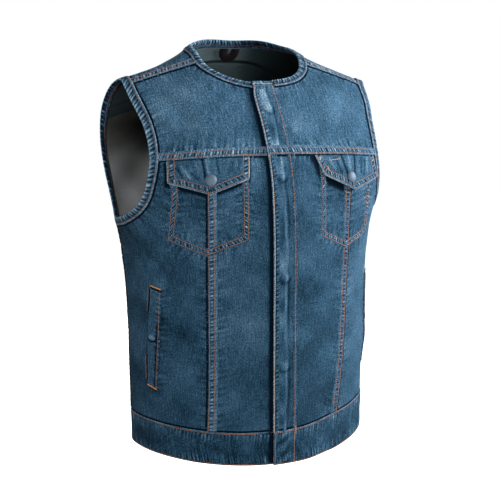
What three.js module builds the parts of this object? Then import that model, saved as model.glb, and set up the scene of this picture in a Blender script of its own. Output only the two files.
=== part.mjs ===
// Sleeveless denim vest, standing in the shape of a wearer who isn't there.
// Millimetres. +X is the wearer's left, -Y the front, +Z up. The origin is the middle of the
// shoulder line. A place on the cloth is [angle, run]: degrees round from the centre line, and
// millimetres of cloth down from the shoulder line, negative on the front and positive on the back.
import * as THREE from "three";

// Body of the vest
const SHOULDER_RIDGE = 54; // radius of the turn over the shoulder
const SHOULDER_TIP = 219; // half width at the top of the armholes
const SHOULDER_DROP = 38;
const DROP_FADE = 210;
const COLLAR_LIFT = 52; // how far the neck stands above the shoulder line behind
const COLLAR_WIDTH = 98;
const COLLAR_ROUND = 3.4;
const HEM_DIP = 13;
const RINGS = [
  { level: 0, half: 247, front: 24, back: 74, square: 2.5 },
  { level: 60, half: 247, front: 71, back: 86, square: 2.5 },
  { level: 120, half: 244, front: 109, back: 96, square: 2.45 },
  { level: 180, half: 237, front: 133, back: 101, square: 2.35 },
  { level: 240, half: 225, front: 142, back: 102, square: 2.2 },
  { level: 300, half: 214, front: 145, back: 101, square: 2.1 },
  { level: 360, half: 209, front: 145, back: 99, square: 2.05 },
  { level: 440, half: 206, front: 145, back: 98, square: 2 },
  { level: 520, half: 204, front: 145, back: 98, square: 2 },
  { level: 640, half: 201, front: 145, back: 100, square: 2 },
];
const FOLDS = [
  { angle: 80, run: -360, across: 22, along: 38, depth: -3 },
  { angle: 84, run: -450, across: 20, along: 40, depth: 3 },
  { angle: -84, run: -345, across: 12, along: 60, depth: -3 },
  { angle: -108, run: -440, across: 14, along: 80, depth: -2 },
  { angle: 148, run: -390, across: 15, along: 110, depth: -4 },
  { angle: -146, run: -440, across: 15, along: 120, depth: -4 },
];

// Cut lines
const NECK = { half: 88, front: 72, back: 47, round: 3.6, side: 1.887 };
const ARMHOLE_FRONT = [
  { run: 0, angle: 56 },
  { run: -58, angle: 53.5 },
  { run: -118, angle: 50 },
  { run: -178, angle: 51.3 },
  { run: -227, angle: 57.4 },
  { run: -256, angle: 66 },
  { run: -274, angle: 81 },
  { run: -281, angle: 98 },
];
const ARMHOLE_BACK = [
  { run: 281, angle: 82 },
  { run: 273, angle: 77 },
  { run: 248, angle: 73.5 },
  { run: 205, angle: 72 },
  { run: 150, angle: 70.5 },
  { run: 95, angle: 67.5 },
  { run: 45, angle: 62 },
  { run: 0, angle: 56 },
];
const SHOULDER_SEAM = -34;
const YOKE_RUN = 182;
const BAND_RUN = 595;
const HEM_RUN = 647;
const ARMHOLE_BOTTOM = 281;
const SIDE_ANGLE = { top: 98, bottom: 101 };
const PLACKET_EDGE = -21;
const PLACKET_INNER = 17;
const NECK_BINDING_ENDS = { left: 17.5, right: 8 }; // from the centre line, each on its own side
const FRONT_SEAM_RIGHT = { top: -121, bottom: -122 };
const FRONT_SEAM_LEFT = { top: 131, bottom: 107 };
const BACK_SEAM = { top: 128, bottom: 98 };
const FACING_RUN = 96;

// Cloth
const DENIM = 1.6;
const BAND_WALL = 2.4;
const LINING = 1;
const SEAM_GAP = 0.2; // each side of a seam
const LAP_RISE = 5; // how far the left front stands over the right one
const LAP_FADE = { from: 18, to: 85 };
const BAND_RISE = 0.5;
const LINING_DEPTH = 2.3;
const BINDING = { start: 2, end: 13, lining: 13.6 }; // rows of the cloth in from the folded edge
const BINDING_FORM = [
  { into: 12.6, out: 3.4 },
  { into: 1.8, out: 3.4 },
  { into: 0.2, out: 0.8 },
  { into: 1.8, out: -1.9 },
  { into: 12.6, out: -1.9 },
  { into: 12.6, out: -0.9 },
  { into: 1.4, out: -0.8 },
  { into: 1.4, out: 2.3 },
  { into: 12.6, out: 2.4 },
];

// Trimmings
const FLAP_RIGHT = [
  { x: -177.5, run: -182.5 },
  { x: -178, run: -220 },
  { x: -120, run: -237 },
  { x: -60, run: -216 },
  { x: -54.5, run: -182.5 },
];
const FLAP_LEFT = [
  { x: 59.5, run: -182.5 },
  { x: 72, run: -214 },
  { x: 131, run: -239 },
  { x: 191, run: -222 },
  { x: 185.5, run: -182.5 },
];
const FLAP = { wall: 2, rise: 2.1, stand: 2.2, reach: 55 };
const SNAP_RIGHT = { x: -118.5, run: -216 };
const SNAP_LEFT = { x: 124.5, run: -218.5 };
const SNAP_PROFILE = [
  { radius: 8.8, out: 0 },
  { radius: 8.8, out: 1.2 },
  { radius: 7.6, out: 2.6 },
  { radius: 4.4, out: 3.4 },
];
const SNAP_TOP = 3.7;
const WELT = { top: -381, bottom: -545, outer: 65.5, inner: 60, slant: 5.8, wall: 1.6, rise: 2.1 };
const PLACKET_SNAPS = [-114, -213, -361, -510];
const PLACKET_SNAP = { x: -2, radius: 6.5, height: 2.4 };
const BAND_SNAP = { run: -628, height: 1.9 };
const HANGER = { from: -24, to: 12, drop: 21, run: 58, width: 6.5, wall: 1.5, depth: -4.8,
  belly: 0.14 };

const DEG = Math.PI / 180;
const clamp = (v, low, high) => Math.min(Math.max(v, low), high);
const mix = (a, b, t) => a + (b - a) * t;
const ease = (from, to, v) => THREE.MathUtils.smoothstep(v, from, to);

// A column of a table, read smoothly between its rows.
function column(rows, key, name, at) {
  const last = rows.length - 1;
  const q = clamp(at, rows[0][key], rows[last][key]);
  let i = 0;
  while (i < last - 1 && rows[i + 1][key] <= q) i += 1;
  const before = rows[Math.max(i - 1, 0)];
  const [a, b] = [rows[i], rows[i + 1]];
  const after = rows[Math.min(i + 2, last)];
  const h = b[key] - a[key];
  const t = (q - a[key]) / h;
  const slopeA = ((b[name] - before[name]) / (b[key] - before[key])) * h;
  const slopeB = ((after[name] - a[name]) / (after[key] - a[key])) * h;
  const [t2, t3] = [t * t, t * t * t];
  return (2 * t3 - 3 * t2 + 1) * a[name] + (t3 - 2 * t2 + t) * slopeA
    + (3 * t2 - 2 * t3) * b[name] + (t3 - t2) * slopeB;
}
const ring = (name, level) => column(RINGS, "level", name, level);

// Depth below the shoulder line after a run of cloth over the ridge.
function levelOf(run) {
  const turn = (SHOULDER_RIDGE * Math.PI) / 2;
  const down = Math.abs(run);
  if (down > turn) return down - turn + SHOULDER_RIDGE;
  return SHOULDER_RIDGE * (1 - Math.cos(down / SHOULDER_RIDGE));
}

// The smooth form under the folds.
function form([angle, run]) {
  const level = levelOf(run);
  const n = ring("square", level);
  const s = Math.sin(angle * DEG);
  const c = Math.cos(angle * DEG) * (run < 0 ? -1 : 1);
  const depth = ring(c < 0 ? "front" : "back", level);
  const size = (Math.abs(s) ** n + Math.abs(c) ** n) ** (1 / n);
  const over = Math.sin(Math.min(Math.abs(run) / SHOULDER_RIDGE, Math.PI / 2));
  const x = (ring("half", level) * s) / size;
  const y = (depth * c * over) / size;
  const out = Math.max((Math.abs(x) - NECK.half) / (SHOULDER_TIP - NECK.half), 0);
  const drop = SHOULDER_DROP * out ** 1.15 * (1 - ease(0, DROP_FADE, level));
  const collar = COLLAR_LIFT * Math.exp(-((Math.abs(x) / COLLAR_WIDTH) ** COLLAR_ROUND));
  const lift = collar * ease(-30, 55, y) * (1 - ease(0, 140, level));
  const dip = HEM_DIP * ease(150, 620, level) * clamp(-y / 120, 0, 1.2) ** 2;
  return new THREE.Vector3(x, y, lift - level - drop - dip);
}

// The two directions of the cloth at a place, and the way out of it.
function frameAt([angle, run]) {
  const step = 0.4; // degrees or millimetres, small beside the cloth's curves
  const round = form([angle + step, run]).sub(form([angle - step, run])).divideScalar(2 * step);
  const up = form([angle, run + step]).sub(form([angle, run - step])).divideScalar(2 * step);
  return { round, up, out: round.clone().cross(up).normalize() };
}

function foldAt([angle, run]) {
  const turn = run < 0 ? angle : Math.sign(angle) * 180 - angle;
  const wrapped = ((turn + 540) % 360) - 180;
  let height = 0;
  for (const fold of FOLDS) {
    const a = (wrapped - fold.angle) / fold.across;
    const r = (-Math.abs(run) - fold.run) / fold.along;
    height += fold.depth * Math.exp(-a * a - r * r);
  }
  return height;
}

// A point at a height over the cloth's inner face.
function pointAt(place, height) {
  const { out } = frameAt(place);
  return form(place).addScaledVector(out, height + foldAt(place));
}

function angleAt(x, run) {
  const level = levelOf(run);
  const q = clamp(Math.abs(x) / ring("half", level), 0, 0.9999);
  const n = ring("square", level);
  return (Math.sign(x) * Math.atan2(q, (1 - q ** n) ** (1 / n))) / DEG;
}
const placeAt = (x, run) => [angleAt(x, run), run];
const mirror = (path) => path.map(([angle, run]) => [-angle, run]);
const distance = (a, b) => form(a).distanceTo(form(b));

// Places evenly spread along a dense path.
function spread(path, steps) {
  const sums = [0];
  for (let i = 1; i < path.length; i += 1) sums.push(sums[i - 1] + distance(path[i - 1], path[i]));
  const total = sums[sums.length - 1];
  const places = [];
  for (let k = 0; k <= steps; k += 1) {
    const goal = (total * k) / steps;
    let i = 1;
    while (i < sums.length - 1 && sums[i] < goal) i += 1;
    const t = clamp((goal - sums[i - 1]) / (sums[i] - sums[i - 1] || 1), 0, 1);
    places.push([mix(path[i - 1][0], path[i][0], t), mix(path[i - 1][1], path[i][1], t)]);
  }
  return places;
}
const trace = (steps, at) => Array.from({ length: steps + 1 }, (_, k) => at(k / steps));
const DENSE = 40; // steps of a path before it is spread
const line = (steps, at) => spread(trace(DENSE, at), steps);

// Neck line from the shoulder seam towards the centre of the front or back.
function neckPlace(turn, front) {
  const x = NECK.half * Math.cos(turn) ** (2 / NECK.side);
  const run = (front ? -NECK.front : NECK.back) * Math.sin(turn) ** (2 / NECK.round);
  return placeAt(x, run);
}
function turnAtRun(run, front) {
  const share = Math.abs(run) / (front ? NECK.front : NECK.back);
  return Math.asin(clamp(share, 0, 1) ** (NECK.round / 2));
}
function turnAtX(x) {
  return Math.acos(clamp(x / NECK.half, 0, 1) ** (NECK.side / 2));
}

function tableCurve(rows, steps) {
  const numbered = rows.map((row, i) => ({ ...row, i }));
  const last = rows.length - 1;
  return trace(steps, (t) => [
    column(numbered, "i", "angle", t * last), column(numbered, "i", "run", t * last)]);
}
function cutAt(path, run) {
  const i = path.findIndex((place, k) => k > 0 && (path[k - 1][1] - run) * (place[1] - run) <= 0);
  const [a, b] = [path[i - 1], path[i]];
  return [i, [mix(a[0], b[0], (run - a[1]) / (b[1] - a[1])), run]];
}

// A place moved a distance into the cloth, square to the edge that runs from before to after.
function insetPlace(place, before, after, by) {
  const { round, up, out } = frameAt(place);
  const way = form(after).sub(form(before)).cross(out).normalize().multiplyScalar(by);
  const [rr, uu, ru] = [round.dot(round), up.dot(up), round.dot(up)];
  const [wr, wu] = [way.dot(round), way.dot(up)];
  const det = rr * uu - ru * ru;
  return [place[0] + (wr * uu - wu * ru) / det, place[1] + (wu * rr - wr * ru) / det];
}

// A bound edge: its own line, the row where the cloth starts and the row where the binding ends.
function boundEdge(path, before, after, seams) {
  const all = [before, ...path, after];
  const row = (by) => path.map((place, i) => {
    const moved = insetPlace(place, all[i], all[i + 2], by);
    const seam = seams.find(({ at }) => at === i);
    return seam ? seam.keep(moved) : moved;
  });
  return { edge: row(BINDING.start), inner: row(BINDING.end), lining: row(BINDING.lining) };
}
const EDGE_ROWS = ["edge", "inner", "lining"];
const eachRow = (bound, change) =>
  Object.fromEntries(EDGE_ROWS.map((key) => [key, change(bound[key])]));
const mirrorBound = (bound) => eachRow(bound, mirror);
const keepRun = (run) => (place) => [place[0], run];

const sideAngle = (run) => {
  const share = (Math.abs(run) - ARMHOLE_BOTTOM) / (HEM_RUN - ARMHOLE_BOTTOM);
  return mix(SIDE_ANGLE.top, SIDE_ANGLE.bottom, share);
};

// The left armhole, as a front half and a back half that share their ends.
const ARM_STEPS = { yoke: 6, side: 8, back: 8, over: 13, ridge: 6 };
function leftArmhole() {
  const front = tableCurve(ARMHOLE_FRONT, 5 * DENSE);
  const back = tableCurve(ARMHOLE_BACK, 5 * DENSE);
  const [shoulder, shoulderPlace] = cutAt(front, SHOULDER_SEAM);
  const [yoke, yokePlace] = cutAt(front, -YOKE_RUN);
  const [backYoke, backYokePlace] = cutAt(back, YOKE_RUN);
  const upper = spread([shoulderPlace, ...front.slice(shoulder, yoke), yokePlace], ARM_STEPS.yoke);
  const lower = spread([yokePlace, ...front.slice(yoke)], ARM_STEPS.side);
  const rise = spread([...back.slice(0, backYoke), backYokePlace], ARM_STEPS.back);
  const ridge = [...back.slice(backYoke), ...front.slice(1, shoulder)];
  const over = spread([backYokePlace, ...ridge, shoulderPlace], ARM_STEPS.over);
  const frontPath = [...upper, ...lower.slice(1)];
  const backPath = [...rise, ...over.slice(1)];
  const beyond = 1.5; // degrees past the side seam, for the edge's direction there
  const frontEdge = boundEdge(frontPath, over[ARM_STEPS.over - 1], [
    SIDE_ANGLE.top + beyond, -ARMHOLE_BOTTOM], [
    { at: 0, keep: keepRun(SHOULDER_SEAM) },
    { at: ARM_STEPS.yoke, keep: keepRun(-YOKE_RUN) },
    { at: frontPath.length - 1, keep: (place) => [sideAngle(place[1]), place[1]] },
  ]);
  const backEdge = boundEdge(backPath, [180 - SIDE_ANGLE.top + beyond, ARMHOLE_BOTTOM], upper[1], [
    { at: 0, keep: (place) => [180 - sideAngle(place[1]), place[1]] },
    { at: ARM_STEPS.back, keep: keepRun(YOKE_RUN) },
    { at: backPath.length - 1, keep: keepRun(SHOULDER_SEAM) },
  ]);
  const last = frontPath.length - 1;
  for (const key of EDGE_ROWS) {
    const [, run] = frontEdge[key][last];
    backEdge[key][0] = [180 - frontEdge[key][last][0], -run];
    backEdge[key][backPath.length - 1] = frontEdge[key][0];
  }
  return { front: frontEdge, back: backEdge };
}

// The neck, from the left front's centre end round behind to the right front's one.
const NECK_STEPS = { front: 8, side: 6, back: 7 };
const NECK_CORNER = 0.5; // turn, in radians, where the neck line bends to run behind
function neckEdges() {
  const seamTurn = turnAtRun(SHOULDER_SEAM, true);
  const frontTo = (x) => line(NECK_STEPS.front, (t) => neckPlace(mix(turnAtX(x), seamTurn, t), true));
  const side = spread([
    ...trace(DENSE, (t) => neckPlace(mix(seamTurn, 0, t), true)),
    ...trace(DENSE, (t) => neckPlace(mix(0, NECK_CORNER, t), false)),
  ], NECK_STEPS.side);
  const behind = line(NECK_STEPS.back, (t) => neckPlace(mix(NECK_CORNER, Math.PI / 2, t), false));
  const half = [...side, ...behind.slice(1)];
  const back = [...half, ...mirror(half).reverse().slice(1)];
  const atSeam = keepRun(SHOULDER_SEAM);
  const bind = (path, before, after, from, to) => boundEdge(path, before, after, [
    { at: 0, keep: from }, { at: path.length - 1, keep: to }]);
  const keepX = (x) => (place) => placeAt(x, place[1]);
  const centre = [0, -NECK.front];
  const left = frontTo(NECK_BINDING_ENDS.left);
  const right = frontTo(NECK_BINDING_ENDS.right);
  const beforeSeam = left[NECK_STEPS.front - 1];
  const bound = {
    left: bind(left, centre, back[1], keepX(NECK_BINDING_ENDS.left), atSeam),
    back: bind(back, beforeSeam, mirror([beforeSeam])[0], atSeam, atSeam),
    right: mirrorBound(bind(right, centre, back[1], keepX(NECK_BINDING_ENDS.right), atSeam)),
  };
  for (const key of EDGE_ROWS) {
    bound.left[key][NECK_STEPS.front] = bound.back[key][0];
    [bound.right[key][NECK_STEPS.front]] = mirror([bound.back[key][0]]);
    bound.back[key][back.length - 1] = bound.right[key][NECK_STEPS.front];
  }
  return bound;
}

// Rows and columns of places between four paths: top and bottom run alike, left and right run down.
function fill(top, bottom, left, right) {
  const [cols, rows] = [top.length - 1, left.length - 1];
  const blend = (i, j, k) => {
    const [u, v] = [i / cols, j / rows];
    const across = mix(top[i][k], bottom[i][k], v) + mix(left[j][k], right[j][k], u);
    return across - mix(mix(top[0][k], top[cols][k], u), mix(bottom[0][k], bottom[cols][k], u), v);
  };
  return left.map((_, j) => top.map((__, i) => [blend(i, j, 0), blend(i, j, 1)]));
}

const ink = (colour, roughness, metalness = 0) =>
  new THREE.MeshStandardMaterial({ color: colour, roughness, metalness, side: THREE.DoubleSide });

function volumeOf(points, faces) {
  return faces.reduce((sum, [a, b, c]) =>
    sum + points[a].dot(points[b].clone().cross(points[c])), 0) / 6;
}

function meshOf(name, points, faces, material) {
  if (volumeOf(points, faces) < 0) faces.forEach((face) => face.reverse());
  const geometry = new THREE.BufferGeometry();
  const flat = points.flatMap((p) => [p.x, p.y, p.z]);
  geometry.setAttribute("position", new THREE.Float32BufferAttribute(flat, 3));
  geometry.setIndex(faces.flat());
  geometry.computeVertexNormals();
  const mesh = new THREE.Mesh(geometry, material);
  mesh.name = name;
  return mesh;
}

// A cloth piece: grids of places that share their borders, given a wall and closed at its rim.
function cloth(name, grids, material, wall, rise = () => 0) {
  const [keys, places, quads] = [new Map(), [], []];
  const vertex = (place) => {
    const key = place.map((v) => Math.round(v * 1e4)).join();
    if (!keys.has(key)) {
      keys.set(key, places.length);
      places.push(place);
    }
    return keys.get(key);
  };
  const area = (q) => q.reduce((sum, v, i) => {
    const [a, b] = [places[v], places[q[(i + 1) % 4]]];
    return sum + a[0] * b[1] - b[0] * a[1];
  }, 0);
  for (const grid of grids) {
    for (let j = 1; j < grid.length; j += 1) {
      for (let i = 1; i < grid[j].length; i += 1) {
        const corners = [grid[j - 1][i - 1], grid[j - 1][i], grid[j][i], grid[j][i - 1]];
        const quad = corners.map(vertex);
        const [a, b, c, d] = quad;
        quads.push(area(quad) < 0 ? [a, d, c, b] : quad);
      }
    }
  }
  const outer = places.map((place) => pointAt(place, rise(place) + wall));
  const inner = places.map((place) => pointAt(place, rise(place)));
  const used = new Set(quads.flatMap((q) => q.map((v, i) => `${v},${q[(i + 1) % 4]}`)));
  const faces = [];
  const n = places.length;
  for (const [a, b, c, d] of quads) {
    faces.push([a, b, c], [a, c, d], [n + c, n + b, n + a], [n + d, n + c, n + a]);
  }
  for (const edge of used) {
    const [a, b] = edge.split(",").map(Number);
    if (!used.has(`${b},${a}`)) faces.push([b, a, n + a], [b, n + a, n + b]);
  }
  return meshOf(name, [...outer, ...inner], faces, material);
}

const xOf = (place) => form(place).x;
const isFront = ([angle, run]) => run < 0 && Math.abs(angle) < 90;
const lapRise = (place) =>
  (isFront(place) ? LAP_RISE * (1 - ease(LAP_FADE.from, LAP_FADE.to, xOf(place))) : 0);


const armhole = leftArmhole();
const neck = neckEdges();
const slice = (bound, from, to) => eachRow(bound, (row) => row.slice(from, to + 1));
const nudge = (bound, index, by) => eachRow(bound, (row) => row.map(([angle, run], i) =>
  [angle, i === index ? run + by : run]));
const turned = (bound) => eachRow(bound, (row) => [...row].reverse());
const bindStrip = (bound) => [bound.edge, bound.inner];
const straight = (from, to, steps) =>
  trace(steps, (t) => [mix(from[0], to[0], t), mix(from[1], to[1], t)]);
const atRun = (fromX, toX, run, steps) => line(steps, (t) => placeAt(mix(fromX, toX, t), run));
const lastOf = (list) => list[list.length - 1];
const withEnds = (path, first, last) => [first, ...path.slice(1, -1), last];

// The top of a front piece: from its centre edge along the neck and the shoulder seam.
const SEAM_STEPS = 5;
const LAP_STEPS = 2;
function frontTop(neckRow, frontX, into, armCorner) {
  const start = placeAt(frontX, -NECK.front - into);
  const lap = withEnds(atRun(frontX, xOf(neckRow[0]), start[1], LAP_STEPS), start, neckRow[0]);
  const seam = armCorner ? straight(lastOf(neckRow), armCorner, SEAM_STEPS).slice(1) : [];
  return { lap, path: [...lap, ...neckRow.slice(1), ...seam] };
}

// Front yoke: neck and shoulder seam above, armhole outside, yoke line below.
function frontYoke(name, neckSide, frontX, material, rise) {
  const bound = nudge(neckSide, NECK_STEPS.front, -SEAM_GAP);
  const arm = nudge(slice(armhole.front, 0, ARM_STEPS.yoke), 0, -SEAM_GAP);
  const ownArm = neckSide === neck.right ? mirrorBound(arm) : arm;
  const outer = nudge(ownArm, ARM_STEPS.yoke, SEAM_GAP);
  const corner = lastOf(outer.inner);
  const foot = placeAt(frontX, SEAM_GAP - YOKE_RUN);
  const lapEdge = frontTop(bound.edge, frontX, BINDING.start).lap;
  const { lap, path } = frontTop(bound.inner, frontX, BINDING.end, outer.inner[0]);
  const bottom = withEnds(atRun(frontX, xOf(corner), foot[1], path.length - 1), foot, corner);
  const inside = line(ARM_STEPS.yoke, (t) => placeAt(frontX, mix(path[0][1], foot[1], t)));
  return cloth(name, [
    fill(path, bottom, withEnds(inside, path[0], foot), outer.inner),
    [lapEdge, lap],
    bindStrip(bound),
    bindStrip(outer),
  ], material, DENIM, rise);
}

const seamX = (seam, run) =>
  mix(seam.top, seam.bottom, (Math.abs(run) - YOKE_RUN) / (BAND_RUN - YOKE_RUN));

// A panel between two lines that run from the yoke to the waistband.
const LONG_ROWS = 15;
function longPanel(name, fromX, toX, side, cols, material, rise) {
  const grid = trace(LONG_ROWS, (t) => {
    const run = side * mix(YOKE_RUN + SEAM_GAP, BAND_RUN - SEAM_GAP, t);
    return trace(cols, (u) => placeAt(mix(fromX(run), toX(run), u), run));
  });
  return cloth(name, [grid], material, DENIM, rise);
}

// The outer border of a left piece that ends at the side seam: the armhole, then the seam.
const SIDE_PULL = 0.11; // degrees each side of the side seam
const sidePull = ([angle, run]) => [angle - SIDE_PULL, run];
function outerBorder(side, bound, rowName, steps) {
  const pulled = eachRow(bound, (row) => [...row.slice(0, -1), sidePull(lastOf(row))]);
  const foot = lastOf(pulled[rowName]);
  const seam = trace(steps, (t) => {
    const run = mix(foot[1], side * (BAND_RUN - SEAM_GAP), t);
    return sidePull([side < 0 ? sideAngle(run) : 180 - sideAngle(run), run]);
  });
  return { pulled, border: [...pulled[rowName], ...seam.slice(1)] };
}

const KNEE_DROP = 6;
// Runs for a piece's inner edge, kept level with a border that turns down at the armhole's foot.
function levelRuns(from, border, bend, side) {
  const knee = border[bend][1] + side * KNEE_DROP;
  const foot = side * (BAND_RUN - SEAM_GAP);
  const last = border.length - 1;
  return border.map((_, j) => (j < bend
    ? mix(from, knee, j / bend) : mix(knee, foot, (j - bend) / (last - bend))));
}

// A side panel: the armhole cuts its upper outer corner away.
const SIDE_COLS = 7;
const SIDE_STEPS = 9;
function sidePanel(name, seam, side, mirrored, material) {
  const half = side < 0
    ? slice(armhole.front, ARM_STEPS.yoke, ARM_STEPS.yoke + ARM_STEPS.side)
    : turned(slice(armhole.back, 0, ARM_STEPS.back));
  const { pulled, border } = outerBorder(side, nudge(half, 0, side * SEAM_GAP), "inner", SIDE_STEPS);
  const rows = border.length - 1;
  const inside = levelRuns(side * (YOKE_RUN + SEAM_GAP), border, rows - SIDE_STEPS, side)
    .map((run) => placeAt(Math.abs(seamX(seam, run)) + SEAM_GAP, run));
  const across = (row) => straight(inside[row], border[row], SIDE_COLS);
  const grids = [fill(across(0), across(rows), inside, border), bindStrip(pulled)];
  return cloth(name, mirrored ? grids.map((grid) => grid.map(mirror)) : grids, material, DENIM);
}

// The grids of a back piece from the shoulder seams, round the neck, to a line across the back.
function backGrids(rowName, bottomRun, armSteps) {
  const last = neck.back.edge.length - 1;
  const bound = nudge(nudge(neck.back, 0, SEAM_GAP), last, SEAM_GAP);
  const left = nudge(slice(turned(armhole.back), 0, armSteps), 0, SEAM_GAP);
  const ridge = ARM_STEPS.ridge;
  const [neckRow, armRow] = [bound[rowName], left[rowName]];
  const lobe = (row, arm) => fill(
    straight(row[0], arm[0], SEAM_STEPS), straight(row[ridge], arm[ridge], SEAM_STEPS),
    row.slice(0, ridge + 1), arm.slice(0, ridge + 1));
  const leftLobe = lobe(neckRow, armRow);
  const rightLobe = lobe([...neckRow].reverse(), mirror(armRow));
  const behind = neckRow.slice(ridge, last - ridge + 1);
  const top = [...[...lastOf(leftLobe)].reverse(), ...behind.slice(1), ...lastOf(rightLobe).slice(1)];
  const sideRow = armRow.slice(ridge);
  const corner = lastOf(sideRow);
  const bottom = bowedLine(corner, bottomRun, top.length - 1);
  const main = fill(top, bottom, sideRow, mirror(sideRow));
  return { main: [leftLobe, rightLobe, main], strips: [bound, left, mirrorBound(left)].map(bindStrip) };
}

// A line across the back from a place at the left armhole, level with it or bowed to another run.
function bowedLine(corner, middleRun, steps) {
  const path = line(steps, (t) => {
    const bow = 1 - (2 * t - 1) ** 2;
    return placeAt(xOf(corner) * (1 - 2 * t), mix(corner[1], middleRun, bow));
  });
  return withEnds(path, corner, mirror([corner])[0]);
}

// The waistband goes round from under the left front's end to the top of it.
const BAND_STEPS = 74;
const BAND_ROWS = 2;
function waistband(name, material) {
  const middle = -(BAND_RUN + HEM_RUN) / 2;
  const ends = (run) => [angleAt(PLACKET_INNER, run), angleAt(PLACKET_EDGE, run) - 360];
  const stations = line(BAND_STEPS, (t) => [mix(...ends(middle), t), middle]);
  const grid = trace(BAND_ROWS, (v) => {
    const run = -mix(BAND_RUN + SEAM_GAP, HEM_RUN, v);
    const [from, to] = ends(run);
    return withEnds(stations.map(([angle]) => [angle, run]), [from, run], [to, run]);
  });
  const rise = ([angle, run]) =>
    BAND_RISE + (angle < -270 ? lapRise([angle + 360, run]) : 0); // only the last quarter laps
  return cloth(name, [grid], material, BAND_WALL, rise);
}

// A closed solid carried through sections; open ones get flat ends from the section's own form.
function sweep(name, sections, form2d, closed, material) {
  const n = sections[0].length;
  const count = sections.length;
  const faces = [];
  for (let s = 0; s < (closed ? count : count - 1); s += 1) {
    const next = (s + 1) % count;
    for (let k = 0; k < n; k += 1) {
      const l = (k + 1) % n;
      const [a, b, c, d] = [s * n + k, s * n + l, next * n + l, next * n + k];
      faces.push([a, b, c], [a, c, d]);
    }
  }
  if (!closed) {
    const ends = THREE.ShapeUtils.triangulateShape(form2d, []);
    const clockwise = THREE.ShapeUtils.isClockWise(form2d);
    const base = (count - 1) * n;
    for (const end of ends) {
      const [a, b, c] = clockwise ? [...end].reverse() : end;
      faces.push([c, b, a], [base + a, base + b, base + c]);
    }
  }
  return meshOf(name, sections.flat(), faces, material);
}

// Cloth folded over a bound edge.
function binding(name, bound, closed, material, rise = () => 0) {
  const sections = bound.edge.map((edge, i) => {
    const inner = bound.inner[i];
    const [a, b] = [pointAt(edge, rise(edge)), pointAt(inner, rise(inner))];
    const [outA, outB] = [frameAt(edge).out, frameAt(inner).out];
    return BINDING_FORM.map(({ into, out }) => {
      const t = (into - BINDING.start) / (BINDING.end - BINDING.start);
      const way = outA.clone().lerp(outB, clamp(t, 0, 1)).normalize();
      return a.clone().lerp(b, t).addScaledVector(way, out);
    });
  });
  const form2d = BINDING_FORM.map(({ into, out }) => new THREE.Vector2(into, out));
  return sweep(name, sections, form2d, closed, material);
}
const joined = (...bounds) => Object.fromEntries(EDGE_ROWS.map((key) => [
  key, bounds.flatMap((bound, i) => bound[key].slice(i ? 1 : 0))]));

// A pocket flap from its five corners: two on the yoke line, three along its pointed lower edge.
const flapRise = (place) =>
  FLAP.rise + FLAP.stand * ((-YOKE_RUN - place[1]) / FLAP.reach) ** 2
  + (place[0] > 0 ? lapRise(place) : 0);
const FLAP_COLS = 5;
const FLAP_ROWS = 3;
function flap(name, corners, material) {
  const [topIn, lowIn, point, lowOut, topOut] = corners.map(({ x, run }) => placeAt(x, run));
  const bottom = [
    ...straight(lowIn, point, FLAP_COLS), ...straight(point, lowOut, FLAP_COLS).slice(1)];
  const grid = fill(straight(topIn, topOut, 2 * FLAP_COLS), bottom,
    straight(topIn, lowIn, FLAP_ROWS), straight(topOut, lowOut, FLAP_ROWS));
  return cloth(name, [grid], material, FLAP.wall, flapRise);
}

// The narrow welt over a side pocket, slanting with its opening.
const WELT_ROWS = 8;
function welt(name, side, material) {
  const at = (angle) => trace(WELT_ROWS, (t) => [
    side * (angle + WELT.slant * t), mix(WELT.top, WELT.bottom, t)]);
  return cloth(name, [[at(WELT.inner), at((WELT.inner + WELT.outer) / 2), at(WELT.outer)]],
    material, WELT.wall, () => WELT.rise);
}

// A place to set a small part: a point on a piece's face and the directions there.
function seat(place, height) {
  const step = 0.5;
  const [angle, run] = place;
  const at = (a, r) => pointAt([a, r], height([a, r]));
  const round = at(angle + step, run).sub(at(angle - step, run)).normalize();
  const up = at(angle, run + step).sub(at(angle, run - step));
  const out = round.clone().cross(up).normalize();
  return { point: at(angle, run), round, up: out.clone().cross(round), out };
}

const SNAP_SIDES = 14;
function turnedPart(name, place, height, profile, top, material) {
  const { point, round, up, out } = seat(place, height);
  const at = (radius, turn, h) => point.clone().addScaledVector(out, h)
    .addScaledVector(round, radius * Math.cos(turn)).addScaledVector(up, radius * Math.sin(turn));
  const rings = profile.map(({ radius, out: h }) => Array.from({ length: SNAP_SIDES }, (_, k) =>
    at(radius, (2 * Math.PI * k) / SNAP_SIDES, h)));
  const points = [...rings.flat(), at(0, 0, profile[0].out), at(0, 0, top)];
  const [foot, head] = [points.length - 2, points.length - 1];
  const faces = [];
  for (let k = 0; k < SNAP_SIDES; k += 1) {
    const l = (k + 1) % SNAP_SIDES;
    const high = (rings.length - 1) * SNAP_SIDES;
    faces.push([l, k, foot], [high + k, high + l, head]);
    for (let r = 1; r < rings.length; r += 1) {
      const [a, b] = [(r - 1) * SNAP_SIDES, r * SNAP_SIDES];
      faces.push([a + k, a + l, b + l], [a + k, b + l, b + k]);
    }
  }
  return meshOf(name, points, faces, material);
}
const SNAP_GAP = 0.35;
const flapSnap = (name, { x, run }, material) => turnedPart(name, placeAt(x, run),
  (place) => flapRise(place) + FLAP.wall + SNAP_GAP, SNAP_PROFILE, SNAP_TOP, material);
const placketSnap = (name, run, under, height, material) => turnedPart(
  name, placeAt(PLACKET_SNAP.x, run), () => under + SNAP_GAP,
  [{ radius: PLACKET_SNAP.radius, out: 0 }, { radius: PLACKET_SNAP.radius, out: height }],
  height, material);

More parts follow.
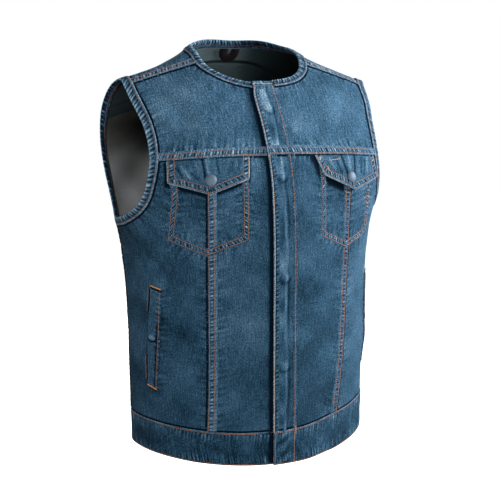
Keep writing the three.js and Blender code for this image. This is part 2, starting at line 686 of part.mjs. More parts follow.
// Lining: one piece to each front, an upper and a lower one behind.
const LINING_STEPS = 6;
const LINING_END = { left: 24, right: -27 };
const LINING_FIRST = 4; // room between a front lining's edge and its next column
const LINING_COLS = 20;
const FACING_STEPS = 9;
const liningRise = () => -LINING_DEPTH - LINING;
function frontLining(name, neckSide, frontX, material) {
  const bound = nudge(neckSide, NECK_STEPS.front, -SEAM_GAP);
  const arm = nudge(slice(armhole.front, 0, ARM_STEPS.yoke + ARM_STEPS.side), 0, -SEAM_GAP);
  const right = neckSide === neck.right;
  const { border } = outerBorder(-1, arm, "lining", LINING_STEPS);
  const outer = right ? mirror(border) : border;
  const first = Math.abs(frontX) + LINING_FIRST;
  const from = bound.lining.findIndex((place) => Math.abs(xOf(place)) > first);
  const row = [placeAt(frontX, -NECK.front - BINDING.lining), ...bound.lining.slice(from)];
  const top = [...row, ...straight(lastOf(row), outer[0], SEAM_STEPS).slice(1)];
  const foot = placeAt(frontX, -BAND_RUN + SEAM_GAP);
  const corner = lastOf(outer);
  const bottom = line(top.length - 1, (t) => [mix(foot[0], corner[0], t), foot[1]]);
  const inside = levelRuns(top[0][1], outer, outer.length - 1 - LINING_STEPS, -1)
    .map((run) => placeAt(frontX, run));
  return cloth(name, [fill(top, bottom, inside, outer)], material, LINING, liningRise);
}
function backLining(name, material) {
  const down = slice(turned(armhole.back), FACING_STEPS, ARM_STEPS.over + ARM_STEPS.back);
  const { border } = outerBorder(1, nudge(down, 0, SEAM_GAP), "lining", LINING_STEPS);
  const [corner, foot] = [border[0], lastOf(border)];
  const bottom = line(LINING_COLS, (t) => [foot[0] * (1 - 2 * t), foot[1]]);
  const top = bowedLine(corner, FACING_RUN + SEAM_GAP, LINING_COLS);
  return cloth(name, [fill(top, bottom, border, mirror(border))], material, LINING, liningRise);
}

// The hanger is a strap bent into a loop, sewn in at both ends under the neck binding.
const HANGER_STEPS = 12;
function hanger(name, material) {
  const corners = [[-1, 0], [1, 0], [1, 1], [-1, 1]];
  const centre = (t) => placeAt(
    mix(HANGER.from, HANGER.to, t - HANGER.belly * Math.sin(2 * Math.PI * t)),
    HANGER.run + HANGER.drop * Math.sin(Math.PI * t) ** 0.8);
  const sections = trace(HANGER_STEPS, (t) => {
    const place = centre(t);
    const { out } = frameAt(place);
    const way = form(centre(Math.min(t + 0.03, 1))).sub(form(centre(Math.max(t - 0.03, 0))));
    const across = out.clone().cross(way).normalize();
    return corners.map(([w, h]) => pointAt(place, HANGER.depth - h * HANGER.wall)
      .addScaledVector(across, (w * HANGER.width) / 2));
  });
  const form2d = corners.map(([w, h]) => new THREE.Vector2(w * HANGER.width / 2, -h * HANGER.wall));
  return sweep(name, sections, form2d, false, material);
}

const denim = () => ink(0x3f6687, 0.9);
const deepDenim = () => ink(0x34597a, 0.9);
const knit = () => ink(0x5c5a57, 0.95);
const facingCloth = () => ink(0x46514f, 0.95);
const metal = () => ink(0x5d6f7c, 0.4, 0.8);

const vest = new THREE.Group();
vest.name = "denim_vest";
const rightX = (run) => seamX(FRONT_SEAM_RIGHT, run) + SEAM_GAP;
const leftX = (run) => seamX(FRONT_SEAM_LEFT, run) - SEAM_GAP;
const backX = (run) => seamX(BACK_SEAM, run) - SEAM_GAP;
const yokeBack = backGrids("inner", YOKE_RUN - SEAM_GAP, ARM_STEPS.over);
const facing = backGrids("lining", FACING_RUN - SEAM_GAP, FACING_STEPS);
const armLoop = joined(armhole.front, armhole.back);
const leftLoop = eachRow(armLoop, (row) => row.slice(0, -1));
const neckLoop = joined(neck.left, neck.back, turned(neck.right));
const leftLapRise = (place) => (place[0] > 0 ? lapRise(place) : 0);
vest.add(
  frontYoke("front_yoke_right", neck.right, PLACKET_INNER, denim()),
  frontYoke("front_yoke_left", neck.left, PLACKET_EDGE, denim(), lapRise),
  longPanel("front_centre_right", rightX, () => PLACKET_INNER, -1, 7, denim()),
  longPanel("front_centre_left", () => PLACKET_EDGE, leftX, -1, 8, denim(), lapRise),
  sidePanel("front_side_right", FRONT_SEAM_RIGHT, -1, true, denim()),
  sidePanel("front_side_left", FRONT_SEAM_LEFT, -1, false, denim()),
  cloth("back_yoke", [...yokeBack.main, ...yokeBack.strips], denim(), DENIM),
  longPanel("back_centre", (run) => -backX(run), backX, 1, 12, denim()),
  sidePanel("back_side_right", BACK_SEAM, 1, true, denim()),
  sidePanel("back_side_left", BACK_SEAM, 1, false, denim()),
  waistband("waistband", deepDenim()),
  binding("neck_binding", neckLoop, false, deepDenim(), leftLapRise),
  binding("armhole_binding_left", leftLoop, true, deepDenim()),
  binding("armhole_binding_right", mirrorBound(leftLoop), true, deepDenim()),
  flap("pocket_flap_right", FLAP_RIGHT, deepDenim()),
  flap("pocket_flap_left", FLAP_LEFT, deepDenim()),
  welt("pocket_welt_right", -1, denim()),
  welt("pocket_welt_left", 1, denim()),
  flapSnap("flap_snap_right", SNAP_RIGHT, metal()),
  flapSnap("flap_snap_left", SNAP_LEFT, metal()),
  frontLining("lining_front_right", neck.right, LINING_END.right, knit()),
  frontLining("lining_front_left", neck.left, LINING_END.left, knit()),
  cloth("lining_back_upper", facing.main, facingCloth(), LINING, liningRise),
  backLining("lining_back_lower", knit()),
  hanger("hanger_loop", ink(0x151314, 0.6)),
);
PLACKET_SNAPS.forEach((run, i) => vest.add(
  placketSnap(`placket_snap_${i + 1}`, run, DENIM, PLACKET_SNAP.height, metal())));
vest.add(placketSnap("waistband_snap", BAND_SNAP.run, BAND_RISE + BAND_WALL, BAND_SNAP.height, metal()));

export default vest;
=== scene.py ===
import math

import bpy
import numpy as np
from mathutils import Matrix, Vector
from mathutils.kdtree import KDTree


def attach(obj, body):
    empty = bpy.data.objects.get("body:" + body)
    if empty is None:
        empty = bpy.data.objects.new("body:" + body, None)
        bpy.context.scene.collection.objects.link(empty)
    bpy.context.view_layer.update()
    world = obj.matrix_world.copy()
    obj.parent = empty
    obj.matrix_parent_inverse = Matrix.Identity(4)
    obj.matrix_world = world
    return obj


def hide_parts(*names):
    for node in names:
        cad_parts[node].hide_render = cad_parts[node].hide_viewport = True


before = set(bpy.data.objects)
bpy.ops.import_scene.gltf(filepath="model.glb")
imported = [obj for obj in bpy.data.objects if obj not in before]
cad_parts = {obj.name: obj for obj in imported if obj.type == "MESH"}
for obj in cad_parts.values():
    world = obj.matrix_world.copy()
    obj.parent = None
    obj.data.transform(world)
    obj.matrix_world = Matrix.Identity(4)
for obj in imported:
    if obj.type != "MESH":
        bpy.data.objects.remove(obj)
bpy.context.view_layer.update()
print("frame loaded:", len(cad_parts), "nodes")

# the form that the cloth hangs on: each swell or dip with its place, its reach and where it fades
body = {
    "shoulderRidge": 54, "shoulderTip": 219, "shoulderDrop": 38, "dropBend": 1.15, "dropFade": 210,
    "collarLift": 52, "collarWidth": 98, "collarRound": 3.4, "collarFrom": (-30, 55), "collarFade": 140,
    "shoulderFull": 4, "fullAt": 122, "fullReach": 30, "fullFrom": (-15, 30), "fullFade": 100,
    "waistLift": 8.6, "waistAt": 42, "waistReach": 38, "waistFoot": (-647, -600), "waistTop": (-480, -585),
    "sideDip": 4.5, "sideAt": 80, "sideReach": 22, "sideFrom": (-600, -647),
    "neckHalf": 88, "hemDip": 13, "dipFrom": (150, 620), "dipDepth": 120, "dipMost": 1.2,
}
# half width, front and back depth and squareness at each level below the shoulder line
rings = {
    "level": [0, 60, 120, 180, 240, 300, 360, 440, 520, 640],
    "half": [247, 247, 244, 237, 225, 214, 209, 206, 204, 201],
    "front": [24, 71, 109, 133, 142, 145, 145, 145, 145, 145],
    "back": [74, 86, 96, 101, 102, 101, 99, 98, 98, 100],
    "square": [2.5, 2.5, 2.45, 2.35, 2.2, 2.1, 2.05, 2, 2, 2],
}
# large soft folds: (angle, run), reach in degrees and in millimetres, height
bodyFolds = [
    ((80, -360), 22, 38, -3), ((84, -450), 20, 40, 3), ((72, -494), 14, 24, 3.4),
    ((72, -300), 18, 34, -4), ((-84, -345), 12, 60, -3), ((-108, -440), 14, 80, -2),
    ((148, -390), 15, 110, -4), ((-146, -440), 15, 120, -4),
]
# creases from one place to another: start, end, width, height
creases = [
    ((-79, -300), (-58, -352), 9, -2.6), ((-84, -322), (-66, -372), 10, 1.8),
    ((-88, -345), (-74, -392), 8, -2.2), ((-92, -300), (-90, -345), 7, -1.6),
    ((79, -300), (66, -345), 8, -2.0), ((96, -330), (74, -352), 9, -2.4),
    ((98, -388), (76, -402), 9, 2.0), ((97, -428), (78, -424), 8, -2.2),
    ((99, -468), (80, -482), 9, 1.6), ((100, -508), (82, -500), 9, -1.8),
    ((-58, -210), (-52, -300), 16, -1.6), ((-20, -300), (-14, -420), 20, -1.2),
    ((-24, -430), (-16, -540), 22, 1.3), ((-40, -420), (-52, -560), 18, -1.4),
    ((22, -270), (17, -390), 17, 1.1), ((26, -400), (20, -560), 19, -1.3),
    ((-48, -64), (-38, -128), 10, 1.8), ((-41, -60), (-30, -130), 11, -1.7),
    ((-30, -95), (-40, -165), 14, -1.6), ((26, -80), (19, -168), 9, 1.8),
    ((34, -70), (26, -170), 10, -1.9), ((44, -70), (36, -160), 11, 1.3),
    ((-12, 215), (-8, 340), 22, -1.5), ((16, 230), (10, 400), 24, 1.4),
    ((-30, 330), (-24, 520), 22, 1.5), ((34, 300), (26, 470), 20, -1.6),
    ((0, 420), (4, 570), 20, -1.2), ((70, 300), (48, 350), 11, -2.4),
    ((-70, 300), (-50, 356), 11, -2.2), ((-74, 345), (-56, 402), 10, 1.6),
    ((74, 350), (60, 392), 10, 1.8), ((-22, 80), (-34, 165), 18, -1.2),
    ((20, 90), (36, 150), 17, 1.1),
]
# where the pieces are cut: runs, places in x, and the seams by their top, foot and bow
cutLines = {
    "neck": dict(half=88, front=72, back=47, round=3.6, side=1.887),
    "armholeFront": dict(
        run=[0, -58, -118, -178, -227, -256, -274, -281],
        angle=[56, 53.5, 50, 51.3, 57.4, 66, 81, 98]),
    "armholeBack": dict(
        run=[281, 273, 248, 205, 150, 95, 45, 0],
        angle=[82, 77, 73.5, 72, 70.5, 67.5, 62, 56]),
    "shoulderSeam": -34, "yoke": 182, "band": 595, "hem": 647, "armholeFoot": 281,
    "sideTop": 98, "sideBottom": 101, "placketEdge": -24.8, "placketInner": 17, "edgeTurn": 4.5,
    "turnRuns": (-98, -76), "neckEndLeft": 13.5, "neckEndRight": 8, "facing": 96,
    "frontSeamRight": (-124, -123, 2.4), "frontSeamLeft": (125, 99, 7.5), "backSeam": (128, 98, 0),
}
# walls, gaps, the lap of the fronts, the bindings' rows, and how close the points of each mesh lie
clothSizes = {
    "denim": 1.6, "bandWall": 2.4, "lining": 1.0, "gap": 0.2, "lapRise": 5.0,
    "lapFrom": 18, "lapTo": 85, "bandRise": 0.5, "liningDepth": 2.3,
    "bindStart": 2, "bindEnd": 13, "bindLining": 13.6,
    "panelStep": 3.1, "seamStep": 1.45, "liningStep": 7.0,
}


def ease(low, high, v):
    t = np.clip((v - low) / (high - low), 0, 1)
    return t * t * (3 - 2 * t)


def mix(a, b, t):
    return a + (b - a) * t


def bell(away, reach, power=2):
    # 1 in the middle, falling to nothing past its reach
    return np.exp(-np.abs(away / reach) ** power)


def turned(angle):
    return (angle + 540) % 360 - 180


def smoothColumn(keys, values):
    # reads a column of a table smoothly between its rows
    keys, values = np.array(keys, float), np.array(values, float)
    i = np.arange(len(keys))
    low, high = np.maximum(i - 1, 0), np.minimum(i + 1, len(keys) - 1)
    slopes = (values[high] - values[low]) / (keys[high] - keys[low])

    def read(at):
        q = np.clip(at, keys[0], keys[-1])
        k = np.clip(np.searchsorted(keys, q, side="right") - 1, 0, len(keys) - 2)
        h = keys[k + 1] - keys[k]
        t = (q - keys[k]) / h
        return ((2 * t**3 - 3 * t**2 + 1) * values[k] + (t**3 - 2 * t**2 + t) * h * slopes[k]
                + (3 * t**2 - 2 * t**3) * values[k + 1] + (t**3 - t**2) * h * slopes[k + 1])
    return read


ring = {name: smoothColumn(rings["level"], rings[name]) for name in rings if name != "level"}


def levelOf(run):
    ridge = body["shoulderRidge"]
    turn = ridge * math.pi / 2
    down = np.abs(run)
    over = ridge * (1 - np.cos(np.minimum(down, turn) / ridge))
    return np.where(down > turn, down - turn + ridge, over)


def form(places):
    # the smooth form of the vest's inner face
    angle, run = np.radians(places[..., 0]), places[..., 1]
    level = levelOf(run)
    n = ring["square"](level)
    s = np.sin(angle)
    c = np.cos(angle) * np.where(run < 0, -1, 1)
    depth = np.where(c < 0, ring["front"](level), ring["back"](level))
    size = (np.abs(s) ** n + np.abs(c) ** n) ** (1 / n)
    over = np.sin(np.minimum(np.abs(run) / body["shoulderRidge"], math.pi / 2))
    x = ring["half"](level) * s / size
    y = depth * c * over / size
    out = np.maximum((np.abs(x) - body["neckHalf"]) / (body["shoulderTip"] - body["neckHalf"]), 0)
    drop = body["shoulderDrop"] * out ** body["dropBend"] * (1 - ease(0, body["dropFade"], level))
    collar = body["collarLift"] * bell(x, body["collarWidth"], body["collarRound"])
    lift = collar * ease(*body["collarFrom"], y) * (1 - ease(0, body["collarFade"], level))
    full = body["shoulderFull"] * bell(np.abs(x) - body["fullAt"], body["fullReach"])
    lift = lift + full * ease(*body["fullFrom"], y) * (1 - ease(0, body["fullFade"], level))
    turn = turned(places[..., 0])
    raised = ease(*body["waistFoot"], run) * ease(*body["waistTop"], run)
    lift = lift + body["waistLift"] * bell(turn - body["waistAt"], body["waistReach"]) * raised
    lowered = bell(turn - body["sideAt"], body["sideReach"]) * ease(*body["sideFrom"], run)
    lift = lift - body["sideDip"] * lowered
    forward = np.clip(-y / body["dipDepth"], 0, body["dipMost"])
    dip = body["hemDip"] * ease(*body["dipFrom"], level) * forward**2
    return np.stack([x, y, lift - level - drop - dip], -1)


def directions(places):
    step = 0.4
    da, dr = np.array([step, 0]), np.array([0, step])
    around = (form(places + da) - form(places - da)) / (2 * step)
    up = (form(places + dr) - form(places - dr)) / (2 * step)
    out = np.cross(around, up)
    return around, up, out / np.linalg.norm(out, axis=-1, keepdims=True)


creaseEnds = [[form(np.array(place, float)) for place in crease[:2]] for crease in creases]


def spots(places, table):
    # the sum of soft spots; a place on the back is read as one right round on the front's chart
    angle, run = places[..., 0], places[..., 1]
    turn = turned(np.where(run < 0, angle, np.sign(angle) * 180 - angle))
    return sum(amount * bell(turn - at[0], across) * bell(-np.abs(run) - at[1], along)
               for at, across, along, amount in table)


def foldAt(places, points):
    height = spots(places, bodyFolds)
    for (_, _, width, depth), (start, end) in zip(creases, creaseEnds):
        way = end - start
        t = np.clip((points - start) @ way / (way @ way), 0, 1)
        away = np.linalg.norm(points - start - t[..., None] * way, axis=-1)
        swell = 0.55 + 0.45 * np.sin(math.pi * t)
        height += depth * swell * bell(away, width)
    return height


def surface(places, height):
    # a point at a height over the cloth's inner face, folds and creases included
    base = form(places)
    out = directions(places)[2]
    return base + out * (height + foldAt(places, base))[..., None]


def angleAt(x, run):
    level = levelOf(run)
    q = np.clip(np.abs(x) / ring["half"](level), 0, 0.9999)
    n = ring["square"](level)
    return np.degrees(np.sign(x) * np.arctan2(q, (1 - q**n) ** (1 / n)))


def placeAt(x, run):
    x, run = np.broadcast_arrays(np.asarray(x, float), np.asarray(run, float))
    return np.stack([angleAt(x, run), run], -1)


def mirror(path):
    return path * np.array([-1, 1])


def lengths(path):
    steps = np.linalg.norm(np.diff(form(path), axis=0), axis=-1)
    return np.concatenate([[0], np.cumsum(steps)])


def spread(path, steps):
    # places evenly spread along a path
    sums = lengths(path)
    at = np.linspace(0, sums[-1], steps + 1)
    return np.stack([np.interp(at, sums, path[:, k]) for k in (0, 1)], -1)


def stepsFor(path, size):
    return max(2, int(round(lengths(path)[-1] / size)))


def straight(start, end, steps):
    t = np.linspace(0, 1, steps + 1)[:, None]
    return mix(np.array(start, float), np.array(end, float), t)


def atRun(fromX, toX, run, steps):
    return spread(placeAt(np.linspace(fromX, toX, 81), run), steps)


def chain(*paths):
    return np.concatenate([p if i == 0 else p[1:] for i, p in enumerate(paths)])


def inset(path, by, before=None, after=None):
    # the path moved a distance into the cloth, square to its own line
    first = path[0] * 2 - path[1] if before is None else before
    last = path[-1] * 2 - path[-2] if after is None else after
    ends = np.vstack([first, path, last])
    around, up, out = directions(path)
    way = np.cross(form(ends[2:]) - form(ends[:-2]), out)
    way *= np.reshape(by, (-1, 1)) / np.linalg.norm(way, axis=-1, keepdims=True)
    rr, uu, ru = (around * around).sum(-1), (up * up).sum(-1), (around * up).sum(-1)
    wr, wu = (way * around).sum(-1), (way * up).sum(-1)
    det = rr * uu - ru * ru
    return path + np.stack([(wr * uu - wu * ru) / det, (wu * rr - wr * ru) / det], -1)


def sideAngle(run):
    share = (np.abs(run) - cutLines["armholeFoot"]) / (cutLines["hem"] - cutLines["armholeFoot"])
    return mix(cutLines["sideTop"], cutLines["sideBottom"], share)


def neckPlace(turn, front):
    neck = cutLines["neck"]
    x = neck["half"] * np.cos(turn) ** (2 / neck["side"])
    run = (-neck["front"] if front else neck["back"]) * np.sin(turn) ** (2 / neck["round"])
    return placeAt(x, run)


def tablePath(table, steps):
    i = np.arange(len(table["run"]))
    at = np.linspace(0, i[-1], steps + 1)
    return np.stack([smoothColumn(i, table[k])(at) for k in ("angle", "run")], -1)


def cutPath(path, run, keep):
    # the part of a path above or below a run, with its end exactly there
    i = next(k for k in range(1, len(path)) if (path[k - 1][1] - run) * (path[k][1] - run) <= 0)
    t = (run - path[i - 1][1]) / (path[i][1] - path[i - 1][1])
    at = np.array([mix(path[i - 1][0], path[i][0], t), run])
    return np.vstack([path[:i], at]) if keep == "before" else np.vstack([at, path[i:]])


def fill(top, bottom, left, right):
    # rows and columns of places between four paths
    u = np.linspace(0, 1, len(top))[None, :, None]
    v = np.linspace(0, 1, len(left))[:, None, None]
    across = mix(top[None], bottom[None], v) + mix(left[:, None], right[:, None], u)
    return across - mix(mix(top[0], top[-1], u), mix(bottom[0], bottom[-1], u), v)


# the left armhole and the neck as dense paths, then their bound rows
armFront = spread(tablePath(cutLines["armholeFront"], 400), 260)
armBack = spread(tablePath(cutLines["armholeBack"], 400), 240)


def neckHalfPath(endX):
    # from the front's centre end to the middle of the back, on the left
    endTurn = math.acos((endX / cutLines["neck"]["half"]) ** (cutLines["neck"]["side"] / 2))
    front = neckPlace(np.linspace(endTurn, 0, 160), True)
    back = neckPlace(np.linspace(0, math.pi / 2, 120), False)
    return spread(chain(front, back), 260)


def armRow(by):
    # the front chart runs on past the side seam, so the loop is closed there with given points
    front = inset(armFront, by, before=armBack[-2], after=np.array([99.5, -281.0]))
    back = inset(armBack, by, before=np.array([83.5, 281.0]), after=armFront[1])
    back[-1] = front[0]
    back[0] = [180 - front[-1][0], -front[-1][1]]
    return front, back


def neckRow(by, endX):
    path = neckHalfPath(endX)
    row = inset(path, by, before=np.array([0.0, -72.0]), after=mirror(path[-2]))
    row[-1, 0] = 0
    return row


def lapRise(places):
    front = (places[..., 1] < 0) & (np.abs(places[..., 0]) < 90)
    x = form(places)[..., 0]
    fade = 1 - ease(clothSizes["lapFrom"], clothSizes["lapTo"], x)
    return np.where(front, clothSizes["lapRise"] * fade, 0)


def noRise(places):
    return np.zeros(places.shape[:-1])


def leftLapRise(places):
    return np.where(places[..., 0] > 0, lapRise(places), 0)


def softNoise(points, size, seed):
    rng = np.random.default_rng(seed)
    total = np.zeros(points.shape[:-1])
    for _ in range(10):
        way = rng.normal(size=points.shape[-1])
        way *= 2 * math.pi / (size * rng.uniform(0.7, 1.6)) / np.linalg.norm(way)
        total += np.sin(points @ way + rng.uniform(0, 2 * math.pi))
    return total / 3.2


def rope(along, seed, pitch):
    # puckers along a seam, uneven in length and height, from -1 to 1
    rng = np.random.default_rng(seed)
    knots = rng.uniform(-1, 1, 400)
    shift = np.interp(along / 7.0 % 400, np.arange(400), knots)
    strength = 0.62 + 0.38 * np.interp(along / 19.0 % 400, np.arange(400), knots[::-1])
    main = np.sin(2 * math.pi * (along + 1.5 * shift) / pitch)
    slow = np.sin(2 * math.pi * (along + 2.5 * shift) / (pitch * 2.35) + 1.3)
    return np.clip(strength * (0.78 * main + 0.42 * slow), -1, 1)


def crisp(wave):
    return np.sign(wave) * np.abs(wave) ** 0.65


# arc length round the chest, for the weave's own coordinates
arcAngles = np.linspace(-400, 200, 1201)
arcSums = lengths(np.stack([arcAngles, np.full(1201, -300.0)], -1))


def weaveAt(places):
    u = np.interp(places[..., 0], arcAngles, arcSums)
    return np.stack([u, places[..., 1], np.zeros(u.shape)], -1)


# how pale or deep each piece is, partly its wash and partly painted light: paler on the yokes that face up
# to the light, deeper on the right side turned from it
washAndLightMap = {"front_yoke_left": 0.02, "yoke": 0.06, "lower": -0.015, "band": -0.11, "flap": 0.05,
           "front_side_right": -0.07, "front_side_left": 0.015, "front_centre_right": 0.02,
           "front_centre_left": -0.085}


# patches of the panels painted paler or deeper still: (angle, run), reach, tone
tonePatches = [
    ((-88, -290), 15, 60, -0.12), ((-80, -550), 18, 55, -0.13), ((-25, -540), 20, 75, -0.07),
    ((16, -540), 16, 75, -0.09), ((62, -560), 18, 50, -0.07), ((-36, -330), 10, 60, 0.06),
    ((150, -520), 24, 70, -0.07), ((-152, -300), 20, 80, 0.05),
]


def washAndLightOf(name):
    return next((wash for part, wash in washAndLightMap.items() if part in name), washAndLightMap["lower"])


def part(points, faces, wear, weave, wash):
    return dict(points=points.reshape(-1, 3), faces=faces, wear=np.ravel(wear),
                weave=weave.reshape(-1, 3), wash=np.ravel(np.broadcast_to(wash, np.shape(wear))))


def joinParts(parts):
    total, faces = 0, []
    for p in parts:
        faces += [f + total for f in p["faces"]]
        total += len(p["points"])
    return dict(points=np.concatenate([p["points"] for p in parts]), faces=faces,
                **{k: np.concatenate([p[k] for p in parts]) for k in ("wear", "weave", "wash")})


triangleCount = {}


def makeMesh(name, whole, material, sharpAngle=50):
    # a mesh from arrays, in metres, with the attributes that its material reads
    mesh = bpy.data.meshes.new(name)
    sizes = np.concatenate([np.full(len(f), f.shape[1]) for f in whole["faces"]])
    corners = np.concatenate([f.ravel() for f in whole["faces"]])
    mesh.vertices.add(len(whole["points"]))
    mesh.vertices.foreach_set("co", (whole["points"] / 1000).astype(np.float32).ravel())
    mesh.loops.add(len(corners))
    mesh.loops.foreach_set("vertex_index", corners.astype(np.int32))
    mesh.polygons.add(len(sizes))
    mesh.polygons.foreach_set("loop_start", np.concatenate([[0], np.cumsum(sizes)[:-1]]).astype(np.int32))
    mesh.update(calc_edges=True)
    # one attribute holds real wear together with painted shade and painted highlight, the other each
    # piece's wash together with painted light
    for key in ("wear", "wash"):
        if key in whole:
            layer = mesh.attributes.new(key, "FLOAT", "POINT")
            layer.data.foreach_set("value", whole[key].astype(np.float32))
    layer = mesh.attributes.new("weave", "FLOAT_VECTOR", "POINT")
    layer.data.foreach_set("vector", whole["weave"].astype(np.float32).ravel())
    mesh.polygons.foreach_set("use_smooth", np.ones(len(sizes), bool))
    mesh.set_sharp_from_angle(angle=math.radians(sharpAngle))
    mesh.materials.append(material)
    obj = bpy.data.objects.new(name, mesh)
    bpy.context.scene.collection.objects.link(obj)
    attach(obj, "root")
    triangleCount[name] = int((sizes - 2).sum())
    return obj


def gridQuads(rows, cols, closed=False):
    # quads of a grid of points, rows by cols; closed joins each row's end to its start
    j, i = np.meshgrid(np.arange(rows - 1), np.arange(cols if closed else cols - 1), indexing="ij")
    n = (i + 1) % cols
    quads = np.stack([j * cols + i, j * cols + n, (j + 1) * cols + n, (j + 1) * cols + i], -1)
    return quads.reshape(-1, 4)


def shell(grids, wall, rise, relief=None, shade=None, wash=0.0):
    # a closed wall over grids of places that share their borders
    places = np.concatenate([g.reshape(-1, 2) for g in grids])
    quads, base = [], 0
    for g in grids:
        quads.append(gridQuads(g.shape[0], g.shape[1]) + base)
        base += g.shape[0] * g.shape[1]
    _, first, same = np.unique(np.round(places * 2e3).astype(np.int64), axis=0,
                               return_index=True, return_inverse=True)
    places = places[first]
    quads = same.ravel()[np.concatenate(quads)]
    a, b = places[quads], places[np.roll(quads, -1, axis=1)]
    area = (a[..., 0] * b[..., 1] - b[..., 0] * a[..., 1]).sum(-1)
    quads[area < 0] = quads[area < 0][:, ::-1]
    count = len(places)
    edges = np.stack([quads, np.roll(quads, -1, axis=1)], -1).reshape(-1, 2)
    keys = edges[:, 0] * count + edges[:, 1]
    rim = edges[~np.isin(edges[:, 1] * count + edges[:, 0], keys)]
    points = form(places)
    bump = relief(places, points) if relief else np.zeros(count)
    wear = shade(places, points) if shade else np.zeros(count)
    outer = surface(places, rise(places) + wall + bump)
    inner = surface(places, rise(places) + np.minimum(bump, 0) * 0.6)
    faces = [quads, quads[:, ::-1] + count,
             np.stack([rim[:, 1], rim[:, 0], rim[:, 0] + count, rim[:, 1] + count], -1)]
    weave = weaveAt(places)
    return part(np.concatenate([outer, inner]), faces, np.concatenate([wear, wear]),
                np.concatenate([weave, weave]), wash)


def flatSize(grids, over=0.0):
    # width, length and area of a cut piece, in metres, measured on its form; over is added to the length
    width = max(np.linalg.norm(np.diff(form(g), axis=1), axis=-1).sum(1).max() for g in grids)
    length = max(np.linalg.norm(np.diff(form(g), axis=0), axis=-1).sum(0).max() for g in grids)
    area = 0
    for g in grids:
        p = form(g)
        cross = np.cross(p[1:, 1:] - p[:-1, :-1], p[1:, :-1] - p[:-1, 1:])
        area += np.linalg.norm(cross, axis=-1).sum() / 2
    flat = (round(width / 1000, 3), round(length / 1000 + over, 3))
    return flat, min(round(area / 1e6, 5), round(flat[0] * flat[1], 5))


# the section of a lapped seam: how far in from its edge, how high over the panel's inner face,
# how much it puckers there and how worn it is; beyond the edge it is painted dark as the edge's shadow, and
# darker at the rows as their shade
lapSeam = {
    "width": 11,
    "top": [
            (-4.2, 1.4, 0, 0), (-3.2, 1.7, 0, -0.9), (-1.9, 1.72, 0, -1.7), (-0.9, 1.72, 0, -1.9),
            (-0.5, 2.0, 0, -1.5), (-0.6, 2.7, 0.1, 0.0), (0.1, 3.2, 0.15, 0.35), (1.0, 3.2, 0.1, 0.15),
            (1.9, 2.75, 0.05, -0.4), (3.0, 2.95, 0.5, 0.0), (4.8, 3.1, 0.95, 0.05), (6.5, 3.0, 0.9, 0.05),
            (8.2, 2.75, 0.5, 0.0), (9.3, 2.3, 0.05, -0.45), (10.6, 2.5, 0.25, 0.3), (12.4, 2.0, 0.25, 0.1),
            (14.4, 1.4, 0, 0)],
    "under": [(13.4, 0.9), (0.4, 0.9), (-2.8, 1.1)],
    "rows": [1.9, 9.3], "pitch": 4.7, "slant": 0.4,
}
# the upright seams have their edge right under the row, a pale line beyond the inner one, and the same
# painted shadow beyond the edge
fallSeam = dict(lapSeam, top=[
    (-4.2, 1.4, 0, 0), (-3.1, 1.7, 0, -0.9), (-1.9, 1.72, 0, -1.8), (-0.9, 1.72, 0, -2.0),
    (-0.3, 2.0, 0, -1.6), (-0.4, 2.7, 0.05, -0.5), (0.3, 3.0, 0.05, 0.0), (1.4, 2.85, 0.05, -0.25),
    (2.6, 2.95, 0.3, 0.0), (4.4, 3.1, 0.5, 0.12), (6.2, 3.05, 0.5, 0.12), (7.6, 2.8, 0.3, 0.0),
    (8.6, 2.4, 0.05, -0.35), (9.8, 2.5, 0.1, 0.3), (11.4, 2.15, 0.15, 0.25), (14.0, 1.4, 0, 0)],
    rows=[1.4, 8.6], pitch=5.9, slant=0.2)
# the pocket rows, in the same columns, painted darker at each row as its shade
flatRows = {
    "width": 6,
    "top": [(-3.2, 1.3, 0, 0), (-1.7, 1.75, 0.2, 0.05), (0.0, 1.65, 0.05, -0.35), (1.4, 1.95, 0.45, 0),
            (3.0, 2.05, 0.65, 0), (4.6, 1.95, 0.4, 0), (6.0, 1.65, 0.05, -0.35), (7.7, 1.75, 0.2, 0.05),
            (9.2, 1.3, 0, 0)],
    "under": [(7.0, 0.9), (-1.0, 0.9)],
    "rows": [0, 6], "pitch": 5.6, "slant": 0.5,
}
# a strip painted dark as the shadow where a piece's edge stands on the panel beside it
shadowGutter = {
    "width": 3,
    "top": [(-1.2, 2.0, 0, -1.9), (0.2, 1.76, 0, -2.3), (1.8, 1.76, 0, -2.2), (2.9, 1.7, 0, -1.1),
            (4.1, 1.35, 0, 0)],
    "under": [(2.8, 0.9), (-1.0, 0.9)],
    "rows": [], "pitch": 6, "slant": 0.2,
}


def seamStrip(edge, inner, section, seed, rise, wash=0.0, strength=1.0):
    # a puckered strip of cloth between an edge path and an inner path
    steps = stepsFor(edge, clothSizes["seamStep"])
    edge, inner = spread(edge, steps), spread(inner, steps)
    along = lengths(edge)
    top = np.array(section["top"], float)
    under = np.array([(a, b, 0, 0) for a, b in section["under"]], float)
    loop = np.vstack([top, under])
    t = (loop[:, 0] / section["width"])[None, :, None]
    places = mix(edge[:, None], inner[:, None], t)
    wave = rope(along[:, None] + section["slant"] * loop[None, :, 0], seed, section["pitch"])
    height = rise(places) + loop[None, :, 1] + strength * wave * loop[None, :, 2]
    points = surface(places, height)
    wear = loop[None, :, 3] + crisp(wave) * np.minimum(loop[None, :, 2] * 1.4, 1.0)
    quads = gridQuads(len(edge), len(loop), closed=True)[:, ::-1]
    ends = [np.arange(len(loop))[None, :], (np.arange(len(loop))[::-1] + steps * len(loop))[None, :]]
    made = part(points, [quads] + ends, wear, weaveAt(places), wash)
    return orient(made)


def orient(made):
    # turns every face round where the solid is inside out
    p = made["points"]
    volume = sum(np.einsum("ij,ij->i", p[f[:, 0]], np.cross(p[f[:, k]], p[f[:, k + 1]])).sum()
                 for f in made["faces"] for k in range(1, f.shape[1] - 1))
    if volume < 0:
        made["faces"] = [f[:, ::-1] for f in made["faces"]]
    return made


threads = {"front": [], "back": [], "trim": []}
